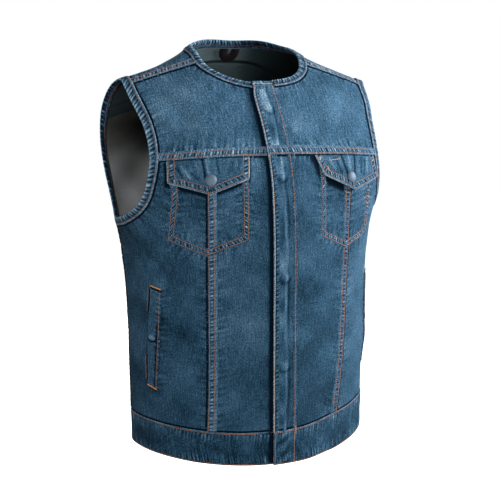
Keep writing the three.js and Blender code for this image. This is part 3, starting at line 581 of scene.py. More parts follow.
# a stitch's bend: share of its length, thickness and lift at each ring; its ends sink in
thread = {"pitch": 3.1, "length": 2.3, "radius": 0.43, "sides": 5, "flat": 0.85, "most": 0.84,
          "start": 0.25, "cloth": 2.5,
          "bend": [(0.0, 0.55, -0.22), (0.22, 1.0, 0.08), (0.78, 1.0, 0.08), (1.0, 0.55, -0.22)]}


def sewRow(group, path, height, rise, tone=0.0, seed=1, inside=False):
    # a row of stitches lying on the cloth at a height over its inner face
    steps = stepsFor(path, thread["pitch"])
    sums = lengths(path)
    starts = np.linspace(0, sums[-1], steps + 1)[:-1] + thread["start"]
    ends = starts + min(thread["length"], sums[-1] / steps * thread["most"])
    rng = np.random.default_rng(seed)
    line = [np.stack([np.interp(s, sums, path[:, k]) for k in (0, 1)], -1) for s in (starts, ends)]
    a, b = (surface(p, rise(p) + height) for p in line)
    out = directions(line[0])[2] * (-1 if inside else 1)
    threads[group].append((a, b, out, tone + rng.uniform(-0.12, 0.12, len(a))))


def sewSection(group, edge, inner, section, rise, tone=0.0, seed=1):
    top = np.array(section["top"], float)
    for k, into in enumerate(section["rows"]):
        path = mix(edge, inner, into / section["width"])
        height = np.interp(into, top[:, 0], top[:, 1]) + 0.12
        sewRow(group, path, height, rise, tone, seed + k)


def stitchMesh(rows):
    # every stitch is a short bent tube with its ends in the cloth
    a, b, out, tone = (np.concatenate([r[k] for r in rows]) for k in range(4))
    way = b - a
    way /= np.linalg.norm(way, axis=-1, keepdims=True)
    side = np.cross(out, way)
    side /= np.linalg.norm(side, axis=-1, keepdims=True)
    rise = np.cross(way, side)
    bend, sides = thread["bend"], thread["sides"]
    turns = np.linspace(0, 2 * math.pi, sides, endpoint=False)
    loops = []
    for share, thick, lift in bend:
        centre = mix(a, b, share) + rise * lift
        for turn in turns:
            spoke = side * math.cos(turn) + rise * math.sin(turn) * thread["flat"]
            loops.append(centre + thread["radius"] * thick * spoke)
    points = np.stack(loops, 1)
    count, per = points.shape[0], points.shape[1]
    quads = gridQuads(len(bend), sides, closed=True)[:, ::-1]
    caps = np.stack([np.arange(sides), np.arange(sides)[::-1] + (len(bend) - 1) * sides])
    base = (np.arange(count) * per)[:, None, None]
    faces = [(quads[None] + base).reshape(-1, 4), (caps[None] + base).reshape(-1, sides)]
    along = np.array([ring[0] for ring in bend]).repeat(sides) * thread["cloth"]
    weave = np.stack(np.broadcast_arrays(along[None], np.arange(count)[:, None], 0.0), -1)
    return orient(part(points, faces, np.repeat(tone, per), weave, 0.0))


# materials

# colours from the deepest to the palest, which wear and painted highlights reach, where the ramp puts them,
# and the strength of each layer
denimLook = {
    "colours": [(0.0, (0.0015, 0.006, 0.014)), (0.22, (0.008, 0.03, 0.052)), (0.45, (0.027, 0.075, 0.13)),
                (0.72, (0.082, 0.163, 0.248)), (1.0, (0.32, 0.43, 0.49))],
    "roughness": 0.9, "sheen": 0.02, "specular": 0.06, "ior": 1.15, "bump": 0.55, "bumpDepth": 0.0006,
    "weaveMm": 1.25, "twillTurn": 38, "grainMm": (1.5, 2.6), "streakMm": (1.9, 17), "mottleMm": 44,
    "base": 0.43, "twill": 0.2, "grain": 1.5, "streak": 0.6, "mottle": 0.26, "wear": 0.56,
}
threadLook = {"dark": (0.12, 0.04, 0.015), "mid": (0.42, 0.15, 0.033), "light": (0.68, 0.45, 0.25)}
liningLook = {"black": (0.007, 0.0068, 0.006), "dark": (0.07, 0.07, 0.068), "light": (0.33, 0.345, 0.355),
              "grainMm": 1.6, "bump": 0.4}
facingLook = {"black": (0.002, 0.004, 0.005), "dark": (0.014, 0.023, 0.026), "light": (0.08, 0.112, 0.12),
              "grainMm": 1.3, "bump": 0.25}
metalLook = {"dark": (0.045, 0.075, 0.11), "light": (0.085, 0.13, 0.18), "scale": 700, "noise": (3.0, 0.7),
             "bump": (0.25, 0.0002), "Metallic": 0.35, "Roughness": 0.62, "Specular IOR Level": 0.5}
strapLook = {"dark": (0.002, 0.002, 0.002), "light": (0.009, 0.007, 0.008), "scale": 900,
             "noise": (2.0, 0.6), "bump": (0.3, 0.0003), "Metallic": 0, "Roughness": 0.5,
             "Specular IOR Level": 0.05}


def newMaterial(name):
    material = bpy.data.materials.new(name)
    material.use_nodes = True
    nodes, links = material.node_tree.nodes, material.node_tree.links
    return material, nodes, links, nodes["Principled BSDF"]


def addNode(nodes, kind, **settings):
    node = nodes.new(kind)
    for key, value in settings.items():
        setattr(node, key, value)
    return node


def mathNode(nodes, links, operation, *inputs):
    node = addNode(nodes, "ShaderNodeMath", operation=operation)
    for socket, value in zip(node.inputs, inputs):
        if isinstance(value, (int, float)):
            socket.default_value = value
        else:
            links.new(value, socket)
    return node.outputs[0]


def attribute(nodes, name, output="Fac"):
    node = addNode(nodes, "ShaderNodeAttribute", attribute_name=name)
    return node.outputs[output]


def scaled(nodes, links, vector, scale, turn=0.0):
    node = addNode(nodes, "ShaderNodeMapping")
    links.new(vector, node.inputs["Vector"])
    node.inputs["Scale"].default_value = scale
    node.inputs["Rotation"].default_value = (0, 0, turn)
    return node.outputs[0]


def noise(nodes, links, vector, detail=2.0, rough=0.5):
    node = addNode(nodes, "ShaderNodeTexNoise")
    node.inputs["Scale"].default_value = 1.0
    node.inputs["Detail"].default_value = detail
    node.inputs["Roughness"].default_value = rough
    links.new(vector, node.inputs["Vector"])
    return node.outputs[0]


def ramp(nodes, links, factor, stops):
    node = addNode(nodes, "ShaderNodeValToRGB")
    bar = node.color_ramp
    while len(bar.elements) < len(stops):
        bar.elements.new(0.5)
    for element, (at, colour) in zip(bar.elements, stops):
        element.position = at
        element.color = (*colour, 1)
    links.new(factor, node.inputs[0])
    return node.outputs[0]


def bumpFrom(nodes, links, height, strength, distance):
    node = addNode(nodes, "ShaderNodeBump")
    node.inputs["Strength"].default_value = strength
    node.inputs["Distance"].default_value = distance
    links.new(height, node.inputs["Height"])
    return node.outputs[0]


def denimMaterial(name, look, shift=0.0):
    material, nodes, links, shader = newMaterial(name)
    weave = attribute(nodes, "weave", "Vector")
    wear = attribute(nodes, "wear")
    wash = attribute(nodes, "wash")
    twill = addNode(nodes, "ShaderNodeTexWave", wave_type="BANDS", bands_direction="X")
    slanted = scaled(nodes, links, weave, (1 / look["weaveMm"],) * 3, math.radians(look["twillTurn"]))
    links.new(slanted, twill.inputs["Vector"])
    twill.inputs["Scale"].default_value = 0.32
    twill.inputs["Distortion"].default_value = 1.6
    twill.inputs["Detail"].default_value = 1.5
    twill.inputs["Detail Scale"].default_value = 1.3
    gx, gy = look["grainMm"]
    grain = noise(nodes, links, scaled(nodes, links, weave, (1 / gx, 1 / gy, 1 / gx)), 3.0, 0.75)
    sx, sy = look["streakMm"]
    streak = noise(nodes, links, scaled(nodes, links, weave, (1 / sx, 1 / sy, 1)), 2.5, 0.6)
    mottle = noise(nodes, links, scaled(nodes, links, weave, (1 / look["mottleMm"],) * 3), 3.0, 0.6)

    def centred(value, amount):
        return mathNode(nodes, links, "MULTIPLY", mathNode(nodes, links, "SUBTRACT", value, 0.5), amount)

    # the piece's tone, partly wash and partly painted light
    total = mathNode(nodes, links, "ADD", wash, look["base"] + shift)
    layers = {"twill": twill.outputs["Fac"], "grain": grain, "streak": streak, "mottle": mottle}
    for layer, value in layers.items():
        total = mathNode(nodes, links, "ADD", total, centred(value, look[layer]))
    # then the wear, with the painted shade and painted highlights it also carries
    total = mathNode(nodes, links, "MULTIPLY_ADD", wear, look["wear"], total)
    links.new(ramp(nodes, links, total, look["colours"]), shader.inputs["Base Color"])
    shader.inputs["Roughness"].default_value = look["roughness"]
    shader.inputs["Sheen Weight"].default_value = look["sheen"]
    shader.inputs["Specular IOR Level"].default_value = look["specular"]
    shader.inputs["IOR"].default_value = look["ior"]
    relief = mathNode(nodes, links, "MULTIPLY_ADD", twill.outputs["Fac"], 0.5, grain)
    links.new(bumpFrom(nodes, links, relief, look["bump"], look["bumpDepth"]), shader.inputs["Normal"])
    return material


def grainMaterial(name, look, seamAt=None):
    # a heather knit or plain cloth; seamAt draws a dark seam line across it at that run
    material, nodes, links, shader = newMaterial(name)
    weave = attribute(nodes, "weave", "Vector")
    fine = noise(nodes, links, scaled(nodes, links, weave, (1 / look["grainMm"],) * 3), 3.0, 0.8)
    broad = noise(nodes, links, scaled(nodes, links, weave, (1 / 30,) * 3), 2.0, 0.5)
    both = mathNode(nodes, links, "MULTIPLY", fine, 0.92)
    both = mathNode(nodes, links, "MULTIPLY_ADD", broad, 0.08, both)
    both = mathNode(nodes, links, "ADD", both, attribute(nodes, "wear"))
    if seamAt:
        place = addNode(nodes, "ShaderNodeSeparateXYZ")
        links.new(weave, place.inputs[0])
        away = mathNode(nodes, links, "SUBTRACT", place.outputs["Y"], seamAt)
        away = mathNode(nodes, links, "ABSOLUTE", away)
        line = addNode(nodes, "ShaderNodeMapRange", interpolation_type="SMOOTHSTEP")
        links.new(away, line.inputs["Value"])
        for key, value in (("From Min", 0.5), ("From Max", 2.6), ("To Min", -0.4), ("To Max", 0.0)):
            line.inputs[key].default_value = value
        both = mathNode(nodes, links, "ADD", both, line.outputs["Result"])
    stops = [(0.0, look["black"]), (0.35, look["dark"]), (0.75, look["light"])]
    links.new(ramp(nodes, links, both, stops), shader.inputs["Base Color"])
    links.new(bumpFrom(nodes, links, fine, look["bump"], 0.0006), shader.inputs["Normal"])
    shader.inputs["Roughness"].default_value = 0.95
    shader.inputs["Specular IOR Level"].default_value = 0.05
    return material


def threadMaterial():
    material, nodes, links, shader = newMaterial("topstitchThread")
    tone = mathNode(nodes, links, "ADD", attribute(nodes, "wear"), 0.5)
    stops = [(0.1, threadLook["dark"]), (0.5, threadLook["mid"]), (0.95, threadLook["light"])]
    links.new(ramp(nodes, links, tone, stops), shader.inputs["Base Color"])
    ply = addNode(nodes, "ShaderNodeTexWave")
    links.new(attribute(nodes, "weave", "Vector"), ply.inputs["Vector"])
    ply.inputs["Scale"].default_value = 0.7
    links.new(bumpFrom(nodes, links, ply.outputs["Fac"], 0.3, 0.0001), shader.inputs["Normal"])
    shader.inputs["Roughness"].default_value = 0.55
    return material


def speckMaterial(name, look):
    material, nodes, links, shader = newMaterial(name)
    place = addNode(nodes, "ShaderNodeTexCoord").outputs["Object"]
    specks = noise(nodes, links, scaled(nodes, links, place, (look["scale"],) * 3), *look["noise"])
    stops = [(0.3, look["dark"]), (0.7, look["light"])]
    links.new(ramp(nodes, links, specks, stops), shader.inputs["Base Color"])
    links.new(bumpFrom(nodes, links, specks, *look["bump"]), shader.inputs["Normal"])
    for socket in ("Metallic", "Roughness", "Specular IOR Level"):
        shader.inputs[socket].default_value = look[socket]
    return material


denim = denimMaterial("washedDenim", denimLook)
trimDenim = denimMaterial("trimDenim", denimLook, -0.03)
lining = grainMaterial("heatherLining", liningLook)
facing = grainMaterial("facingCloth", facingLook, seamAt=73)
threadCloth = threadMaterial()
snapMetal = speckMaterial("snapMetal", metalLook)
strap = speckMaterial("hangerStrap", strapLook)

# seams that pucker the panels beside them
seamPoints, seamAlong, seamSeed = [], [], []


def noteSeam(path, seed):
    dense = spread(path, stepsFor(path, 2.0))
    seamPoints.append(form(dense))
    seamAlong.append(lengths(dense))
    seamSeed.append(np.full(len(dense), seed))


def buildSeamTree():
    points = np.concatenate(seamPoints)
    tree = KDTree(len(points))
    for i, p in enumerate(points):
        tree.insert(p, i)
    tree.balance()
    return tree, np.concatenate(seamAlong), np.concatenate(seamSeed)


# how the panels pucker beside their seams, with the strength by kind of seam, and the painted
# shadow on the cloth where the placket lies over it
pucker = {"pitch": 8.8, "slant": 0.25, "height": 0.7, "from": 5, "reach": 10, "level": 0.65, "yoke": 1,
          "binding": 0.4, "welt": 0.35, "wear": 0.85, "beside": 0.1, "besideReach": 7}
# slow unevenness of the panels: size, strength and seed, first in height and then in tone
slowRelief = (38, 0.22, 3)
slowTones = [(95, 0.10, 8), (34, 0.05, 9)]
lapShadow = {"at": -0.5, "deep": 1.9, "reach": 4.2, "soft": 0.12, "softReach": 15, "below": -70}


def seamWaves(points):
    # the pucker at each point, how strong it is there and how far off the seam runs
    found = [seamTree.find(p) for p in points]
    index = np.array([f[1] for f in found])
    away = np.array([f[2] for f in found])
    along, seeds = treeAlong[index], treeSeed[index]
    wave = np.zeros(len(points))
    for seed in np.unique(seeds):
        pick = seeds == seed
        wave[pick] = rope(along[pick] + pucker["slant"] * away[pick], int(seed) + 50, pucker["pitch"])
    kinds = [(seeds < 2) | (seeds == 4), (seeds >= 30) & (seeds < 40), seeds >= 50]
    level = np.select(kinds, [pucker["yoke"], pucker["binding"], pucker["welt"]], pucker["level"])
    near = np.exp(-np.maximum(away - pucker["from"], 0) / pucker["reach"]) * level
    return wave, near, away


def panelRelief(places, points):
    # small puckers that run out from the seams, and a slow unevenness
    wave, near, _ = seamWaves(points)
    size, amount, seed = slowRelief
    return pucker["height"] * near * wave + amount * softNoise(points, size, seed)


def panelShade(places, points):
    # paler where puckers stand up and deeper in their troughs, partly wear and partly painted light and
    # shade, and painted darker right beside a seam as its shade
    wave, near, away = seamWaves(points)
    slow = sum(softNoise(points, size, seed) * amount for size, amount, seed in slowTones)
    slow = slow + spots(places, tonePatches) / denimLook["wear"]
    beside = pucker["beside"] * np.exp(-away / pucker["besideReach"])
    return pucker["wear"] * near * crisp(wave) - beside + slow


def rightShade(places, points):
    # painted shadow beside the placket's edge and round the flap, taken from the panel's own tone
    beyond = points[:, 0] - placketX(places[:, 1])
    front = (places[..., 1] < lapShadow["below"]) & (np.abs(places[..., 0]) < 90)
    under = lapShadow["deep"] * bell(beyond - lapShadow["at"], lapShadow["reach"])
    under = under + lapShadow["soft"] * bell(beyond, lapShadow["softReach"])
    return panelShade(places, points) - np.where(front, under, 0) - flapShadow("right", points, places)


def onPanel(places):
    # the height of a panel's own puckers, for what is sewn on it
    flat = places.reshape(-1, 2)
    return panelRelief(flat, form(flat)).reshape(places.shape[:-1])


def withPuckers(rise):
    return lambda places: rise(places) + onPanel(places)


def onLeft(places):
    flat = places.reshape(-1, 2)
    return lapRise(places) + leftRelief(flat, form(flat)).reshape(places.shape[:-1])


def seamX(seam, run):
    # a seam given by its top, its foot and its bow
    share = (np.abs(run) - cutLines["yoke"]) / (cutLines["band"] - cutLines["yoke"])
    return mix(seam[0], seam[1], share) + seam[2] * np.sin(math.pi * share**2)


gap = clothSizes["gap"]
panelStep = clothSizes["panelStep"]

armEdge = armRow(clothSizes["bindStart"])
armInner = armRow(clothSizes["bindEnd"])
armLine = armRow(clothSizes["bindLining"])
yokeRun, bandRun, hemRun = cutLines["yoke"], cutLines["band"], cutLines["hem"]
shoulderRun = cutLines["shoulderSeam"]


def frontPart(row, run=shoulderRun):
    # a neck row's stretch in front of the shoulder seam, from its centre end
    return cutPath(row, run, "before")


def placketX(run):
    # the placket's edge turns in a little towards the neck
    return cutLines["placketEdge"] + cutLines["edgeTurn"] * ease(*cutLines["turnRuns"], run)


def upright(x):
    # a line that keeps its x all the way down
    return lambda run: np.full(np.shape(run), float(x))


def seamLine(name, by, side=1):
    return lambda run: side * (seamX(cutLines[name], run) + by)


def yokeGrid(frontX, side, neckEnd):
    neckPath = frontPart(neckRow(clothSizes["bindStart"], neckEnd), shoulderRun - gap)
    armTop = cutPath(armEdge[0], shoulderRun - gap, "after")
    armSide = cutPath(armTop, -yokeRun + gap, "before")
    if side < 0:
        neckPath, armSide = mirror(neckPath), mirror(armSide)
    startRun = neckPath[0][1]
    lap = straight(placeAt(frontX(startRun), startRun), neckPath[0], 4)
    seam = straight(neckPath[-1], armSide[0], 40)
    top = chain(lap, neckPath, seam)
    cols, rows = stepsFor(top, panelStep), stepsFor(armSide, panelStep)
    top = spread(top, cols)
    right = spread(armSide, rows)
    foot = -yokeRun + gap
    bottom = atRun(frontX(foot), form(right[-1])[0], foot, cols)
    bottom[-1], bottom[0] = right[-1], placeAt(frontX(foot), foot)
    runs = np.linspace(top[0][1], foot, rows + 1)
    left = placeAt(frontX(runs), runs)
    top[0], right[0] = left[0], top[-1]
    return fill(top, bottom, left, right)


def longGrid(fromX, toX, side):
    run = side * np.linspace(yokeRun + gap, bandRun - gap, int((bandRun - yokeRun) / panelStep) + 1)
    wide = np.abs(toX(run) - fromX(run)).max()
    u = np.linspace(0, 1, int(wide * 1.08 / panelStep) + 2)
    return placeAt(mix(fromX(run)[:, None], toX(run)[:, None], u[None]), run[:, None])


def sideGrid(seam, side):
    arm = armEdge[0] if side < 0 else armEdge[1][::-1]
    upper = cutPath(arm, side * (yokeRun + gap), "after")
    last = upper[-1]
    runs = np.linspace(last[1], side * (bandRun - gap), 120)
    angles = sideAngle(runs) if side < 0 else 180 - sideAngle(runs)
    lower = np.stack([angles, runs], -1)
    pull = np.array([0.11, 0])
    kneeRows, footRows = stepsFor(upper, panelStep), stepsFor(lower, panelStep)
    border = chain(spread(upper, kneeRows), spread(lower, footRows))
    border = border - pull * ease(0, 12, np.arange(kneeRows + footRows + 1))[:, None]
    knee = last[1] + side * 6
    upperRuns = np.linspace(side * (yokeRun + gap), knee, kneeRows + 1)
    lowerRuns = np.linspace(knee, side * (bandRun - gap), footRows + 1)
    runs = np.concatenate([upperRuns, lowerRuns[1:]])
    inside = placeAt(np.abs(seamX(seam, runs)) + gap, runs)
    cols = stepsFor(straight(inside[-1], border[-1], 20), panelStep)
    return fill(*(straight(inside[k], border[k], cols) for k in (0, -1)), inside, border)


def backGrids(by, bottomRun, armLow):
    # two shoulder lobes and the stretch between them
    neck = neckRow(by, cutLines["neckEndLeft"])
    arm = armRow(by)
    neckBack = cutPath(neck, shoulderRun + gap, "after")
    frontBit = cutPath(arm[0], shoulderRun + gap, "before")
    armSide = chain(cutPath(arm[1], armLow, "after"), frontBit)[::-1]
    bend = int(np.argmin(np.abs(neckBack[:, 1] - 30)))
    split = neckBack[bend][1]
    armBend = int(np.argmin(np.abs(armSide[:, 1] - 34)))
    step = panelStep if by < 5 else clothSizes["liningStep"]
    lobeRows = stepsFor(neckBack[:bend + 1], step)
    lobeCols = stepsFor(straight(neckBack[0], armSide[0], 20), step)
    neckTop, armTop = spread(neckBack[:bend + 1], lobeRows), spread(armSide[:armBend + 1], lobeRows)
    ends = [straight(neckTop[k], armTop[k], lobeCols) for k in (0, -1)]
    lobe = fill(*ends, neckTop, armTop)
    behind = spread(neckBack[bend:], stepsFor(neckBack[bend:], step))
    whole = chain(lobe[-1][::-1], behind, mirror(behind)[::-1], mirror(lobe[-1]))
    sideRow = spread(armSide[armBend:], stepsFor(armSide[armBend:], step))
    corner = sideRow[-1]
    share = np.linspace(0, 1, 121)
    bow = 1 - (2 * share - 1) ** 2
    across = placeAt(form(corner)[0] * (1 - 2 * share), mix(corner[1], bottomRun, bow))
    bottom = spread(across, len(whole) - 1)
    bottom[0], bottom[-1] = corner, mirror(corner)
    return [lobe, mirror(lobe), fill(whole, bottom, sideRow, mirror(sideRow))]


lapEdge, edgeX = upright(cutLines["placketInner"]), cutLines["placketEdge"]
cuts = {
    "front_yoke_right": [yokeGrid(lapEdge, -1, cutLines["neckEndRight"])],
    "front_yoke_left": [yokeGrid(placketX, 1, cutLines["neckEndLeft"])],
    "front_centre_right": [longGrid(seamLine("frontSeamRight", gap), lapEdge, -1)],
    "front_centre_left": [longGrid(upright(edgeX), seamLine("frontSeamLeft", -gap), -1)],
    "front_side_right": [mirror(sideGrid(cutLines["frontSeamRight"], -1))],
    "front_side_left": [sideGrid(cutLines["frontSeamLeft"], -1)],
    "back_yoke": backGrids(clothSizes["bindStart"], yokeRun - gap, yokeRun - gap),
    "back_centre": [longGrid(seamLine("backSeam", -gap, -1), seamLine("backSeam", -gap), 1)],
    "back_side_right": [mirror(sideGrid(cutLines["backSeam"], 1))],
    "back_side_left": [sideGrid(cutLines["backSeam"], 1)],
}
print("panels cut:", {name: sum(g.shape[0] * g.shape[1] for g in grids) for name, grids in cuts.items()})

# where the seams' edges run
leftYokeEnd, rightYokeEnd = (form(cuts["front_yoke_" + side][0][-1, -1])[0] for side in ("left", "right"))
backYokeEnd = form(cuts["back_yoke"][2][-1, 0])[0]


def levelEdge(fromX, toX, run, into):
    return atRun(fromX, toX, run, 200), atRun(fromX, toX, run + into, 200)


def fallEdge(seam, side, into):
    runs = side * np.linspace(yokeRun + 1, bandRun - 1, 200)
    x = seamX(seam, runs)
    return placeAt(x, runs), placeAt(x + into, runs)


def sideSeam(into):
    runs = np.linspace(-cutLines["armholeFoot"] - 12, -bandRun + 1, 200)
    edge = np.stack([sideAngle(runs), runs], -1)
    return edge, inset(edge, -into)


def shoulderEdge(into):
    neck = frontPart(neckRow(clothSizes["bindEnd"], cutLines["neckEndLeft"]))[-1]
    arm = cutPath(armInner[0], shoulderRun, "before")[-1]
    edge = straight(neck, arm, 120)
    return edge, edge + np.array([0, into])


def mirrorAll(paths):
    return [mirror(path) for path in paths]


shoulderSection = dict(lapSeam, pitch=5.4, slant=0.2)
width = lapSeam["width"]
shoulderWidth = 1.25 * width
yokeRight = levelEdge(cutLines["placketInner"], rightYokeEnd, -yokeRun, width)
yokeLeft = levelEdge(edgeX + 1, leftYokeEnd, -yokeRun, width)
yokeBack = levelEdge(backYokeEnd, -backYokeEnd, yokeRun, -width)
# seam strips: the piece they lie on, edge, inner path, section, its rise and thread group
strips = [
    ("front_yoke_right", *yokeRight, lapSeam, onPanel, "front"),
    ("front_yoke_left", *yokeLeft, lapSeam, onLeft, "front"),
    ("front_centre_right", *fallEdge(cutLines["frontSeamRight"], -1, width), fallSeam, onPanel, "front"),
    ("front_centre_left", *fallEdge(cutLines["frontSeamLeft"], -1, -width), fallSeam, onLeft, "front"),
    ("back_yoke", *yokeBack, lapSeam, onPanel, "back"),
    ("back_centre", *fallEdge(cutLines["backSeam"], 1, -width), fallSeam, onPanel, "back"),
    ("back_centre", *mirrorAll(fallEdge(cutLines["backSeam"], 1, -width)), fallSeam, onPanel, "back"),
    ("back_side_left", *sideSeam(width), fallSeam, onPanel, "back"),
    ("back_side_right", *mirrorAll(sideSeam(width)), fallSeam, onPanel, "back"),
    ("back_yoke", *shoulderEdge(shoulderWidth), shoulderSection, onPanel, "back"),
    ("back_yoke", *mirrorAll(shoulderEdge(shoulderWidth)), shoulderSection, onPanel, "back"),
]
for seed, (piece, edge, inner, section, rise, group) in enumerate(strips):
    noteSeam(mix(edge, inner, 0.45), seed)
for row, seed in ((armInner[0], 30), (armInner[1], 31), (neckRow(clothSizes["bindEnd"], 17.5), 32)):
    noteSeam(row, seed)
    noteSeam(mirror(row), seed + 5)

# chest pockets, sewn through from a bag behind: their outer row and the row inside it
pockets = {
    "right": dict(
        outer=[(-174, -184), (-171, -241), (-174, -286), (-174.5, -305), (-124, -325.5), (-64.5, -304),
               (-60.5, -184)],
        inner=[(-168, -184), (-165, -241), (-168.5, -286), (-169, -299.5), (-124, -319), (-70.5, -298.5),
               (-66.5, -184)]),
    "left": dict(
        outer=[(64.5, -184), (64.5, -250), (63, -283), (62.5, -304.5), (112, -325.5), (168, -309),
               (169, -184)],
        inner=[(70.5, -184), (70.5, -250), (69, -283), (68.5, -300), (112, -319), (162, -304),
               (163, -184)]),
}


def pocketPath(corners, steps):
    legs = [straight(placeAt(*a), placeAt(*b), steps) for a, b in zip(corners[:-1], corners[1:])]
    return chain(*legs)


for k, (side, rows) in enumerate(pockets.items()):
    outer, inner = pocketPath(rows["outer"], 30), pocketPath(rows["inner"], 30)
    noteSeam(mix(outer, inner, 0.5), 40 + k)
# the welts of the side pockets: runs and angles of their ends, and the stretches beside their outer edge
# painted with a shadow strip
welt = {
    "top": -380, "bottom": -541, "outer": 65.5, "inner": 58.7, "slant": 5.8, "belly": 1.1, "width": 16,
    "wall": 1.6, "rise": 2.1, "sink": 1.0, "row": 1.8, "across": 14, "step": 1.6,
    "bumpAt": (0.5, 0.62), "bumpRadius": 4.8, "bumpHeight": 1.1, "pitch": 7.5, "pucker": 0.4,
    "open": [(0.03, 0.25), (0.68, 0.94)],
}


def weltPlace(share, down):
    # share runs from the inner edge to the outer one, down from the top end to the bottom one
    outer = welt["outer"] + welt["belly"] * np.sin(math.pi * down) ** 2
    angle = mix(welt["inner"], outer, share) + welt["slant"] * down
    return np.stack(np.broadcast_arrays(angle, mix(welt["top"], welt["bottom"], down)), -1)


weltSide = weltPlace(0.1, np.linspace(0, 1, 60))
noteSeam(weltSide, 50)
noteSeam(mirror(weltSide), 51)
seamTree, treeAlong, treeSeed = buildSeamTree()

# a binding's section, in a seam's columns; its edge beside the body is painted darker as its shadow
bindSection = {
    "width": 11,
    "top": [(11.2, 2.0, 0, -0.5), (11.3, 2.9, 0, 0.4), (10.6, 3.45, 0.05, 0.6), (9.4, 3.5, 0.05, 0.35),
            (8.5, 3.1, 0.02, -0.2), (7.4, 3.4, 0.25, -0.3), (5.6, 3.55, 0.6, -0.2), (3.6, 3.6, 0.75, 0),
            (1.6, 3.5, 0.7, 0.2), (0.0, 3.1, 0.5, 0.5), (-1.2, 2.3, 0.35, 0.7), (-1.9, 1.1, 0.3, 0.5)],
    "inside": [(-1.7, -0.4, 0.45, 0.1), (-0.6, -1.5, 0.45, 0.05), (1.0, -1.9, -0.45, 0.0),
               (3.4, -1.95, -0.4, 0.0), (5.8, -1.95, -0.25, -0.05), (7.0, -1.8, 0, -0.3),
               (8.4, -1.95, -0.1, 0.1), (10.6, -1.9, 0, 0.1)],
    "under": [(10.6, -0.95), (0.2, -0.9), (-0.5, 0.2), (-0.3, 1.6), (0.6, 2.3), (6.0, 2.35)],
    "row": 8.5, "backRow": 7.0, "pitch": 5.3, "slant": 0.38, "step": 1.35,
    "armPitch": 1.25, "armStrength": 0.55, "armTone": 0.1, "insideCrisp": 0.9, "insideShade": -1.15,
    "backShade": -0.7, "backFrom": ((-15, 45), (20, 50)),
}


def bindStrip(halves, seed, rise, closed):
    # cloth folded over an edge, puckered along its fold; halves are its stretches in turn
    under = [(into, height, 0, 0) for into, height in bindSection["under"]]
    loop = np.vstack([bindSection["top"], bindSection["inside"], under])
    t = (loop[:, 0] / bindSection["width"])[None, :, None]
    bases, ways, spans, start = [], [], [], 0.0
    for k, (edge, inner) in enumerate(halves):
        steps = stepsFor(edge, bindSection["step"])
        edge, inner = spread(edge, steps), spread(inner, steps)
        keep = slice(0, steps + 1 if k == len(halves) - 1 and not closed else steps)
        span = start + lengths(edge)
        start = span[-1]
        base = mix(surface(edge, rise(edge))[:, None], surface(inner, rise(inner))[:, None], t)
        way = mix(directions(edge)[2][:, None], directions(inner)[2][:, None], np.clip(t, 0, 1))
        bases.append(base[keep])
        ways.append((way / np.linalg.norm(way, axis=-1, keepdims=True))[keep])
        spans.append(span[keep])
    base, way, along = np.concatenate(bases), np.concatenate(ways), np.concatenate(spans)[:, None]
    into = loop[None, :, 0]
    pitch = bindSection["pitch"] * (bindSection["armPitch"] if closed else 1)
    strength = bindSection["armStrength"] if closed else 1
    wave = strength * rope(along + bindSection["slant"] * into, seed, pitch)
    height = loop[None, :, 1] + wave * loop[None, :, 2]
    points = base + way * height[..., None]
    wear = loop[None, :, 3] + crisp(wave) * np.minimum(np.abs(loop[None, :, 2]) * 2.2, 1.15)
    # painted shade: darker at the back of the neck on the left, and inside the armholes
    fromX, fromY = bindSection["backFrom"]
    behind = ease(*fromX, points[..., 0]) * ease(*fromY, points[..., 1]) * (not closed)
    inside = closed * (loop[None, :, 1] < 1.2)
    wear = wear * (1 + bindSection["insideCrisp"] * inside) + bindSection["armTone"] * closed
    wear = wear + bindSection["backShade"] * behind + bindSection["insideShade"] * inside
    weave = np.stack(np.broadcast_arrays(along, into, seed * 31.0), -1)
    count, last = len(loop), (len(along) - 1) * len(loop)
    i = np.arange(count)
    faces = [gridQuads(len(along), count, closed=True)]
    if closed:
        faces.append(np.stack([last + i, last + (i + 1) % count, (i + 1) % count, i], -1))
    else:
        faces += [i[None, ::-1], i[None] + last]
    return orient(part(points, faces, np.broadcast_to(wear, height.shape), weave, washAndLightMap["lower"]))


def dress(name, parts, material, slot, flat, area=None):
    obj = makeMesh(name + "_cloth", joinParts(parts), material)
    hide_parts(name)


# chest flaps: corners, snap, and small pleats by start, end, width and height, in x and run
flaps = {
    "right": dict(
        corners=[(-177.5, -182.5), (-178, -220), (-120, -237), (-60, -216), (-54.5, -182.5)],
        snap=(-118.5, -216),
        pleats=[
            ((-128, -183), (-126, -213), 1.5, -1.3), ((-123, -184), (-121, -208), 2.6, 0.5),
            ((-107, -186), (-106, -207), 1.8, -0.55), ((-165, -196), (-158, -210), 1.6, -0.8),
            ((-159, -194), (-148, -212), 1.8, 0.5), ((-146, -204), (-136, -216), 1.6, -0.6),
            ((-144, -186), (-139, -206), 2.4, -0.25), ((-84, -190), (-90, -206), 2.6, -0.25),
            ((-72, -188), (-75, -202), 2.4, -0.35),
        ]),
    "left": dict(
        corners=[(56, -182.5), (68.5, -214), (127.5, -239), (187.5, -222), (182, -182.5)],
        snap=(121, -218.5),
        pleats=[
            ((107.5, -186), (114.5, -214), 1.8, -0.9), ((134.5, -186), (130.5, -214), 1.9, -0.9),
            ((120.5, -184), (120.5, -206), 3.0, 0.6), ((94.5, -190), (102.5, -212), 2.4, -0.5),
            ((148.5, -188), (144.5, -212), 2.2, -0.6), ((162.5, -188), (158.5, -212), 2.4, 0.5),
            ((82.5, -190), (90.5, -206), 2.6, 0.4), ((156.5, -192), (150.5, -216), 2.0, -0.5),
        ]),
}
